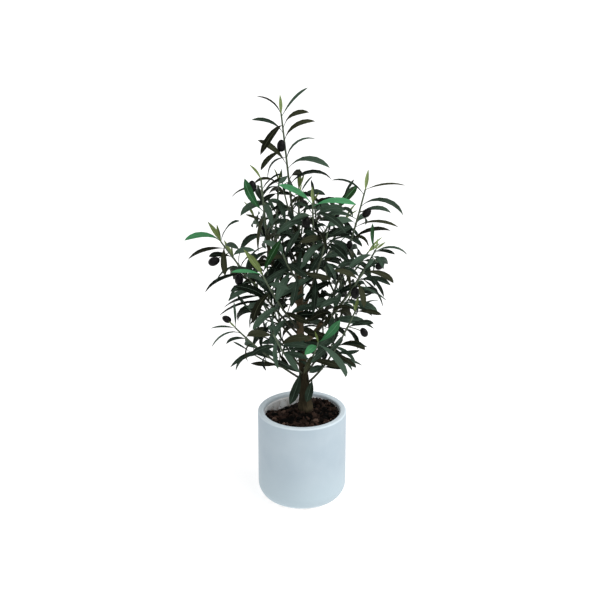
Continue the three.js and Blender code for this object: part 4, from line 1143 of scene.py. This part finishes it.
class Finish:
    """A material, with short ways to add and join its nodes."""

    # Where a Mix node takes its two colours and where it gives the blend, and the roughness of noise
    COLOURS_IN, COLOUR_OUT = (6, 7), 2
    NOISE_ROUGHNESS = 0.6

    def __init__(self, name, roughness, gloss=0.5):
        self.material = bpy.data.materials.new(name)
        self.material.use_nodes = True
        self.tree = self.material.node_tree
        self.shader = self.tree.nodes["Principled BSDF"]
        self.shader.inputs["Roughness"].default_value = roughness
        self.shader.inputs["Specular IOR Level"].default_value = gloss
        self.object_places = self.node("TexCoord").outputs["Object"]

    def node(self, kind, inputs=None, **settings):
        """Adds a node. Each input takes a value or what another node gives."""
        node = self.tree.nodes.new("ShaderNode" + kind)
        for name, value in settings.items():
            setattr(node, name, value)
        for name, value in (inputs or {}).items():
            if isinstance(value, bpy.types.NodeSocket):
                self.tree.links.new(value, node.inputs[name])
            else:
                node.inputs[name].default_value = value
        return node

    def stretched(self, scale):
        """Object places, stretched along each axis."""
        return self.node("Mapping", {"Vector": self.object_places, "Scale": scale}).outputs["Vector"]

    def speckle(self, scale, detail=4, places=None):
        """Cloudy noise from 0 to 1."""
        return self.node("TexNoise", {
            "Vector": places or self.object_places, "Scale": scale, "Detail": detail,
            "Roughness": self.NOISE_ROUGHNESS,
        }).outputs["Fac"]

    def between(self, value, low, high):
        """A value spread over 0 to 1 between two limits."""
        return self.node("MapRange", {"Value": value, "From Min": low, "From Max": high}).outputs["Result"]

    def maths(self, operation, first, second=0.0, third=0.0):
        node = self.node("Math", {0: first, 1: second, 2: third}, operation=operation)
        return node.outputs["Value"]

    def blend(self, share, first, second):
        """One colour turning into another."""
        node = self.node("Mix", {"Factor": share}, data_type="RGBA")
        for socket, value in zip(self.COLOURS_IN, (first, second)):
            if isinstance(value, bpy.types.NodeSocket):
                self.tree.links.new(value, node.inputs[socket])
            else:
                node.inputs[socket].default_value = value
        return node.outputs[self.COLOUR_OUT]

    def wear(self, colour, relief, depth, roughness=None):
        """Joins a colour, a relief and its depth, and a roughness to the shader."""
        links = self.tree.links
        links.new(colour, self.shader.inputs["Base Color"])
        if roughness is not None:
            links.new(roughness, self.shader.inputs["Roughness"])
        bump = self.node("Bump", {"Height": relief, "Distance": depth, "Strength": 1.0})
        links.new(bump.outputs["Normal"], self.shader.inputs["Normal"])
        return self.material


# Places on the pot where a finish sets in and where it is full: heights of the painted light on the foot
# and of the stains inside, depths of the liner below the rim, its distances from the wall, and shares of
# the wall over which the painted light of the lip reaches inwards
PAINTED_LIGHT_FOOT = (0.09, 0.03)
STAINED = (0.178, 0.156)
LINER_BELOW = (0.0055, 0.0065)
LINER_OFF_WALL = (0.0006, 0.0002)
PAINTED_LIGHT_INWARDS = (0.6, 0.8)


def pot_finish():
    """Matt very pale blue-grey glaze, faintly clouded, with painted light on the foot, the lip and the rim,
    and a stained grey liner.
    """
    glaze = Finish("matt pale glaze", roughness=0.55, gloss=0.2)
    clouds = glaze.between(glaze.speckle(14, detail=3), 0.35, 0.65)
    colour = glaze.blend(clouds, paint(170, 185, 195), paint(177, 191, 200))
    height = glaze.node("SeparateXYZ", {"Vector": glaze.object_places}).outputs["Z"]
    # Painted light: the glaze turns paler towards the foot
    foot = glaze.maths("MULTIPLY", glaze.between(height, *PAINTED_LIGHT_FOOT), 0.8)
    colour = glaze.blend(foot, colour, paint(180, 196, 204))
    specks = glaze.between(glaze.speckle(420, detail=2), 0.72, 0.76)
    colour = glaze.blend(glaze.maths("MULTIPLY", specks, 0.25), colour, paint(140, 157, 168))
    reach = glaze.node("VectorMath", {0: glaze.stretched((1, 1, 0))}, operation="LENGTH").outputs["Value"]
    # Painted light: the lip, the rim's top and its inner wall are paler, against the crown's shade
    lip = glaze.between(height, POT_HEIGHT - LIP_ROUND, POT_HEIGHT - LIP_ROUND / 3)
    inwards = glaze.between(reach, *[POT_RADIUS - share * POT_WALL for share in PAINTED_LIGHT_INWARDS])
    colour = glaze.blend(glaze.maths("MAXIMUM", lip, inwards), colour, paint(211, 224, 231))
    inside = glaze.between(reach, *[INNER_RADIUS + off for off in LINER_OFF_WALL])
    below = glaze.between(height, *[POT_HEIGHT - depth for depth in LINER_BELOW])
    stains = glaze.between(glaze.speckle(70, detail=5, places=glaze.stretched((1, 1, 0.5))), 0.44, 0.62)
    stains = glaze.maths("MULTIPLY", stains, glaze.between(height, *STAINED))
    lining = glaze.blend(stains, paint(230, 233, 234), paint(136, 124, 114))
    crumbs = glaze.between(glaze.speckle(260, detail=2), 0.66, 0.7)
    lining = glaze.blend(crumbs, lining, paint(24, 19, 17))
    colour = glaze.blend(glaze.maths("MULTIPLY", inside, below), colour, lining)
    roughness = glaze.between(glaze.speckle(60, detail=2), -1.2, 2.4)
    return glaze.wear(colour, glaze.speckle(700, detail=3), 0.00006, roughness)


# Heights on the trunk where its bark turns: paler up in the crown as painted light, darker below it and
# down to the foot as painted shade of the crown, and nearly black at the filling, each from where it sets
# in to where it is full
PAINTED_LIGHT_BARK = (0.3, 0.33)
PAINTED_SHADE_BARK = (0.31, 0.26)
PAINTED_SHADE_BARK_END = (0.19, 0.205)
BLACK_BARK = (0.187, 0.179)


def bark_finish():
    """Rough brown bark: dark cracks, brown ridges and paler patches, toned by height: painted light up in
    the crown, painted shade below it and nearly black at the filling.
    """
    bark = Finish("rough brown bark", roughness=0.9, gloss=0.05)
    lengthwise = bark.stretched((1, 1, 0.1))
    ridges = bark.between(bark.speckle(420, detail=5, places=lengthwise), 0.34, 0.66)
    patches = bark.between(bark.speckle(38, detail=3, places=bark.stretched((1, 1, 0.4))), 0.42, 0.62)
    colour = bark.blend(ridges, paint(26, 23, 16), paint(72, 64, 48))
    colour = bark.blend(bark.maths("MULTIPLY", patches, 0.5), colour, paint(98, 88, 68))
    height = bark.node("SeparateXYZ", {"Vector": bark.object_places}).outputs["Z"]
    # Painted light: the bark is paler up in the crown
    pale = bark.maths("MULTIPLY", bark.between(height, *PAINTED_LIGHT_BARK), 0.45)
    colour = bark.blend(pale, colour, paint(118, 102, 80))
    # Painted shade of the crown: the bark is darker below it, down towards the foot
    dark = bark.maths("MULTIPLY", bark.between(height, *PAINTED_SHADE_BARK), bark.between(height, *PAINTED_SHADE_BARK_END))
    colour = bark.blend(bark.maths("MULTIPLY", dark, 0.6), colour, paint(17, 17, 10))
    black = bark.maths("MULTIPLY", bark.between(height, *BLACK_BARK), 0.85)
    colour = bark.blend(black, colour, paint(12, 10, 8))
    return bark.wear(colour, ridges, 0.0005)


# Leaf prints: where the tone's mix of dark and light begins and ends, how far from the midrib its line
# fades, the side veins' slant, number and edges, and the shares of their colour and the midrib's
LEAF_TONES = (-0.15, 0.7)
RIB_FADES = (0.045, 0.012)
VEIN_SLANT = -0.55
VEIN_WAVES = 95.0
VEIN_EDGES = (0.72, 1.0)
VEIN_SHARE, RIB_SHARE = 0.16, 0.5


def leaf_finish(name, dark, light, rib, roughness=0.48):
    """Printed cloth leaf: two tones dealt from leaf to leaf, a paler midrib and faint side veins."""
    cloth = Finish(name, roughness, gloss=0.03)
    tone = cloth.node("Attribute", attribute_name="tone").outputs["Fac"]
    places = cloth.node("SeparateXYZ", {"Vector": cloth.node("UVMap").outputs["UV"]}).outputs
    from_rib = cloth.maths("ABSOLUTE", cloth.maths("SUBTRACT", places["X"], 0.5))
    own_tone = cloth.maths("MULTIPLY", tone, 0.5)
    cloudy = cloth.maths("MULTIPLY_ADD", cloth.speckle(55, detail=3), 0.5, own_tone)
    colour = cloth.blend(cloth.between(cloudy, *LEAF_TONES), dark, light)
    slant = cloth.maths("MULTIPLY_ADD", from_rib, VEIN_SLANT, places["Y"])
    waves = cloth.maths("SINE", cloth.maths("MULTIPLY", slant, VEIN_WAVES))
    veins = cloth.between(waves, *VEIN_EDGES)
    line = cloth.maths("MULTIPLY", cloth.between(from_rib, *RIB_FADES), RIB_SHARE)
    colour = cloth.blend(cloth.maths("MULTIPLY_ADD", veins, VEIN_SHARE, line), colour, rib)
    weave = cloth.maths("MULTIPLY_ADD", veins, -0.5, cloth.speckle(900, detail=2))
    return cloth.wear(colour, weave, 0.00008)


def stem_finish():
    """Moulded stem: brown-green at its foot, paler olive green towards its tip."""
    stem = Finish("olive green stem", roughness=0.5, gloss=0.1)
    tone = stem.node("Attribute", attribute_name="tone").outputs["Fac"]
    cloudy = stem.maths("MULTIPLY_ADD", stem.speckle(120, detail=3), 0.5, tone)
    colour = stem.blend(stem.between(cloudy, 0.25, 1.2), paint(50, 49, 38), paint(88, 100, 80))
    lengthwise = stem.stretched((1, 1, 0.2))
    return stem.wear(colour, stem.speckle(1500, detail=2, places=lengthwise), 0.0001)


def olive_finish():
    """Ripe olive: nearly black with a purple cast, soft gloss and a faint bloom."""
    skin = Finish("ripe olive skin", roughness=0.36, gloss=0.14)
    bloom = skin.between(skin.speckle(160, detail=4), 0.5, 0.75)
    colour = skin.blend(bloom, paint(8, 7, 8), paint(28, 26, 29))
    roughness = skin.between(skin.speckle(90, detail=2), -0.4, 1.6)
    return skin.wear(colour, skin.speckle(800, detail=2), 0.00004, roughness)


def soil_finish():
    """Dark crumbly filling."""
    soil = Finish("dark filling", roughness=0.95, gloss=0.05)
    crumbs = soil.speckle(330, detail=6)
    colour = soil.blend(soil.between(crumbs, 0.35, 0.7), paint(6, 5, 4), paint(26, 20, 16))
    return soil.wear(colour, crumbs, 0.0015)


def chip_finish():
    """Bark lumps: most of them nearly black, some reddish brown, a few pale ones."""
    chip = Finish("bark chip", roughness=0.85, gloss=0.06)
    tone = chip.node("Attribute", attribute_name="tone").outputs["Fac"]
    grain = chip.speckle(420, detail=4, places=chip.stretched((1, 0.4, 1)))
    colour = chip.blend(chip.between(tone, -0.4, 0.8), paint(6, 5, 4), paint(58, 43, 36))
    pale = chip.maths("MULTIPLY", chip.between(tone, 0.84, 0.92), 0.8)
    colour = chip.blend(pale, colour, paint(94, 76, 66))
    dark = chip.maths("MULTIPLY", chip.between(grain, 0.5, 0.8), 0.5)
    colour = chip.blend(dark, colour, paint(13, 10, 8))
    return chip.wear(colour, grain, 0.0004)


# Each leaf piece: its slot, its finish's name, and the dark, light and midrib colours of its upper side
# and of its underside
SHADES = {
    "leaves_teal": {
        "slot": "leaf", "finish": "dark teal leaf",
        "upper": (paint(10, 17, 9), paint(69, 89, 74), paint(96, 114, 100)),
        "under": (paint(14, 18, 11), paint(65, 74, 62), paint(88, 96, 82)),
    },
    "leaves_brown": {
        "slot": "leaf_brown", "finish": "brown olive leaf",
        "upper": (paint(19, 21, 12), paint(56, 59, 42), paint(84, 88, 68)),
        "under": (paint(22, 21, 13), paint(58, 57, 43), paint(86, 84, 67)),
    },
    "leaves_green": {
        "slot": "leaf_green", "finish": "green leaf",
        "upper": (paint(18, 48, 16), paint(76, 145, 98), paint(116, 166, 124)),
        "under": (paint(24, 54, 24), paint(66, 110, 68), paint(98, 136, 96)),
    },
    "young_leaves": {
        "slot": "young_leaf", "finish": "pale young leaf",
        "upper": (paint(84, 98, 50), paint(138, 156, 104), paint(170, 184, 136)),
        "under": (paint(90, 104, 62), paint(138, 152, 104), paint(166, 178, 130)),
    },
}
UNDERSIDE_ROUGHNESS = 0.6

# The share of the grown leaves that are brown, and what is added to a spray's seed to deal the shades
BROWN_SHARE = 0.22
SHADE_STREAM = 1300

# Painted shade on leaves deep in the crown, which get a darker tone: how near the middle line, up to what
# height, and by how much
INNER_REACH = 0.11
INNER_TOP = 0.5
INNER_PAINTED_SHADE = 1.2

# Leaves that hang lower than this, at the foot of the trunk, have this dark tone as painted shade
LOW_LEAVES = 0.25
LOW_PAINTED_SHADE_TONE = -0.45

# Sprays whose young leaves all have one tone, as the picture shows them; the high tones of the top sprays
# are partly their paler colour and partly painted light on leaves that stand edge-on to the light
YOUNG_TONES = {
    "spray_top": 1, "spray_right_top": 0.9, "spray_left_inner": -0.45, "spray_left_outer": -0.5,
    "spray_right_middle": 0.3,
}


def shade_of(spray, leaf, draw):
    """Which of the leaf pieces a leaf goes to."""
    dealt = draw()
    if leaf.kind == "young":
        return "young_leaves"
    if leaf.order in spray.green:
        return "leaves_green"
    if leaf.order in spray.brown or (leaf.order is None and dealt < 2 * BROWN_SHARE - 1):
        return "leaves_brown"
    return "leaves_teal"


def make_olive(number, centre, lean, size):
    """One ripe olive, drawn to a blunt point."""
    bpy.ops.object.select_all(action="DESELECT")
    bpy.ops.mesh.primitive_uv_sphere_add(
        segments=OLIVE_SEGMENTS, ring_count=OLIVE_RINGS, radius=OLIVE_RADIUS)
    olive = bpy.context.object
    bpy.ops.object.mode_set(mode="EDIT")
    bpy.ops.transform.resize(value=(1, 1, OLIVE_LENGTH / (2 * OLIVE_RADIUS)))
    bpy.ops.object.mode_set(mode="OBJECT")
    for vertex in olive.data.vertices:
        blunt = 1 - OLIVE_BLUNT * vertex.co.z / (OLIVE_LENGTH / 2)
        vertex.co.x *= blunt
        vertex.co.y *= blunt
    olive.rotation_euler.y = math.radians(lean)
    olive.scale = size, size, size
    olive.location = centre
    return name_new(f"olive_{number}")


def tone_of(spray, leaf, tone):
    """A leaf's tone, from -1 for dark to 1 for light: as the picture shows it, or as drawn, with painted
    shade deep in the crown and at the trunk's foot."""
    if leaf.kind == "young" and spray.name in YOUNG_TONES:
        return YOUNG_TONES[spray.name]
    if leaf.order in spray.green:
        return spray.green[leaf.order]
    x, y, z = np.ravel(leaf.at(0.5))
    # Painted shade: leaves low at the trunk's foot are dark
    if z < LOW_LEAVES:
        return LOW_PAINTED_SHADE_TONE
    # Painted shade: leaves deep in the crown get a darker tone
    depth = max(0, 1 - math.hypot(x, y, max(0, z - INNER_TOP)) / INNER_REACH)
    return tone - INNER_PAINTED_SHADE * depth


def add_stem(heap, spray):
    """A spray's stem, a little swollen where its leaves stand."""
    joints = [mix(spray.bare, spray.reach, (i + 0.5) / spray.pairs) for i in range(spray.pairs)]
    swell = NODE_LENGTH / spray.curve.length()
    nearby = [joint + side * swell for joint in joints for side in (-1, 0, 1)]
    shares = sorted({*np.linspace(0, 1, STEM_RINGS), *nearby})

    def stem_radius(share):
        bulge = sum(math.exp(-((share - joint) / swell * NODE_SHARPNESS) ** 2) for joint in joints)
        return mix(*STEM_RADII, share) * (1 + NODE_SWELL * bulge)

    add_rod(heap, spray.curve, stem_radius, shares, STEM_TONES)


def make_sprays():
    """Leaves, stems and olives of every spray, each kind and shade in its own piece."""
    sprays = grow_sprays()
    nodes = [spray.name for spray in sprays]
    stems = Heap()
    blades = {name: Heap() for name in SHADES}
    olives = []
    for spray in sprays:
        draw = random_from(spray.seed + SHADE_STREAM)
        add_stem(stems, spray)
        for curve, _ in spray.twigs:
            add_rod(stems, curve, tapered(TWIG_RADII), np.linspace(0, 1, TWIG_RINGS), TWIG_TONES)
        for curve in spray.fine_twigs:
            add_rod(stems, curve, tapered(FINE_RADII), np.linspace(0, 1, FINE_RINGS), FINE_TONES)
        for leaf in spray.leaves:
            tone, fold = draw(), BLADE_FOLD + FOLD_VARIES * draw()
            fold += YOUNG_FOLD if leaf.kind == "young" else 0
            add_blade(blades[shade_of(spray, leaf, draw)], leaf, tone_of(spray, leaf, tone), fold)
        for root, centre, lean, size in spray.olives_at:
            olives.append(make_olive(len(olives), centre, lean, size))
            stalk = Curve(root, mix(root, centre, 0.5) + STALK_ARCH * UP, centre)
            add_rod(stems, stalk, lambda _: STALK_RADIUS, np.linspace(0, 1, STALK_RINGS), STALK_TONES)
    finish_piece(stems.make("stems"), "stem", nodes, [stem_finish()], smooth_angle=50)
    for name, heap in blades.items():
        shade = SHADES[name]
        upper = leaf_finish(shade["finish"], *shade["upper"])
        under = leaf_finish(shade["finish"] + " underside", *shade["under"], UNDERSIDE_ROUGHNESS)
        finish_piece(heap.make(name), shade["slot"], nodes, [upper, under], smooth_angle=50)
    select_only(*olives)
    bpy.ops.object.join()
    olives[0].name = olives[0].data.name = "olives"
    finish_piece(olives[0], "olive", nodes, [olive_finish()], smooth_angle=60)


# The stage: a white floor that glows a little, light from all round, and a wide soft window at the
# front right; and the picture's camera, its lens and sensor in millimetres and its tilt down in degrees
FLOOR_SIZE = 40
FLOOR_GREY = 0.45
FLOOR_GLOW = 0.72
ROOM_LIGHT = 0.62
WINDOW_LIGHT = 1.9
WINDOW_ANGLE = 50
WINDOW_WAY = (1.5, -1.0, 2.0)
CAMERA_LENS = 99.71
CAMERA_SENSOR = 36
CAMERA_PLACE = (-0.00848, -2.76045, 1.56519)
CAMERA_DOWN = 22.77


def make_stage():
    """A plain pale floor, soft studio light and the camera of the picture."""
    bpy.ops.object.select_all(action="DESELECT")
    bpy.ops.mesh.primitive_plane_add(size=FLOOR_SIZE)
    floor = bpy.context.object
    floor.name = "floor"
    paper = Finish("white paper", roughness=0.9)
    paper.shader.inputs["Base Color"].default_value = (FLOOR_GREY, FLOOR_GREY, FLOOR_GREY, 1)
    paper.shader.inputs["Emission Color"].default_value = (1, 1, 1, 1)
    paper.shader.inputs["Emission Strength"].default_value = FLOOR_GLOW
    floor.data.materials.append(paper.material)

    world = bpy.data.worlds.new("white room")
    world.use_nodes = True
    world.node_tree.nodes["Background"].inputs["Color"].default_value = (1, 1, 1, 1)
    world.node_tree.nodes["Background"].inputs["Strength"].default_value = ROOM_LIGHT
    bpy.context.scene.world = world
    window = bpy.data.objects.new("window", bpy.data.lights.new("window", "SUN"))
    window.data.energy, window.data.angle = WINDOW_LIGHT, math.radians(WINDOW_ANGLE)
    window.rotation_euler = Vector(WINDOW_WAY).to_track_quat("Z", "Y").to_euler()
    bpy.context.collection.objects.link(window)

    camera = bpy.data.objects.new("camera", bpy.data.cameras.new("camera"))
    camera.data.lens, camera.data.sensor_width = CAMERA_LENS, CAMERA_SENSOR
    camera.location = CAMERA_PLACE
    camera.rotation_euler = math.radians(90 - CAMERA_DOWN), 0, 0
    bpy.context.collection.objects.link(camera)
    bpy.context.scene.camera = camera
    bpy.context.scene.view_settings.view_transform = "Standard"


make_pot()
make_soil()
make_chips()
make_limbs()
make_sprays()
make_stage()
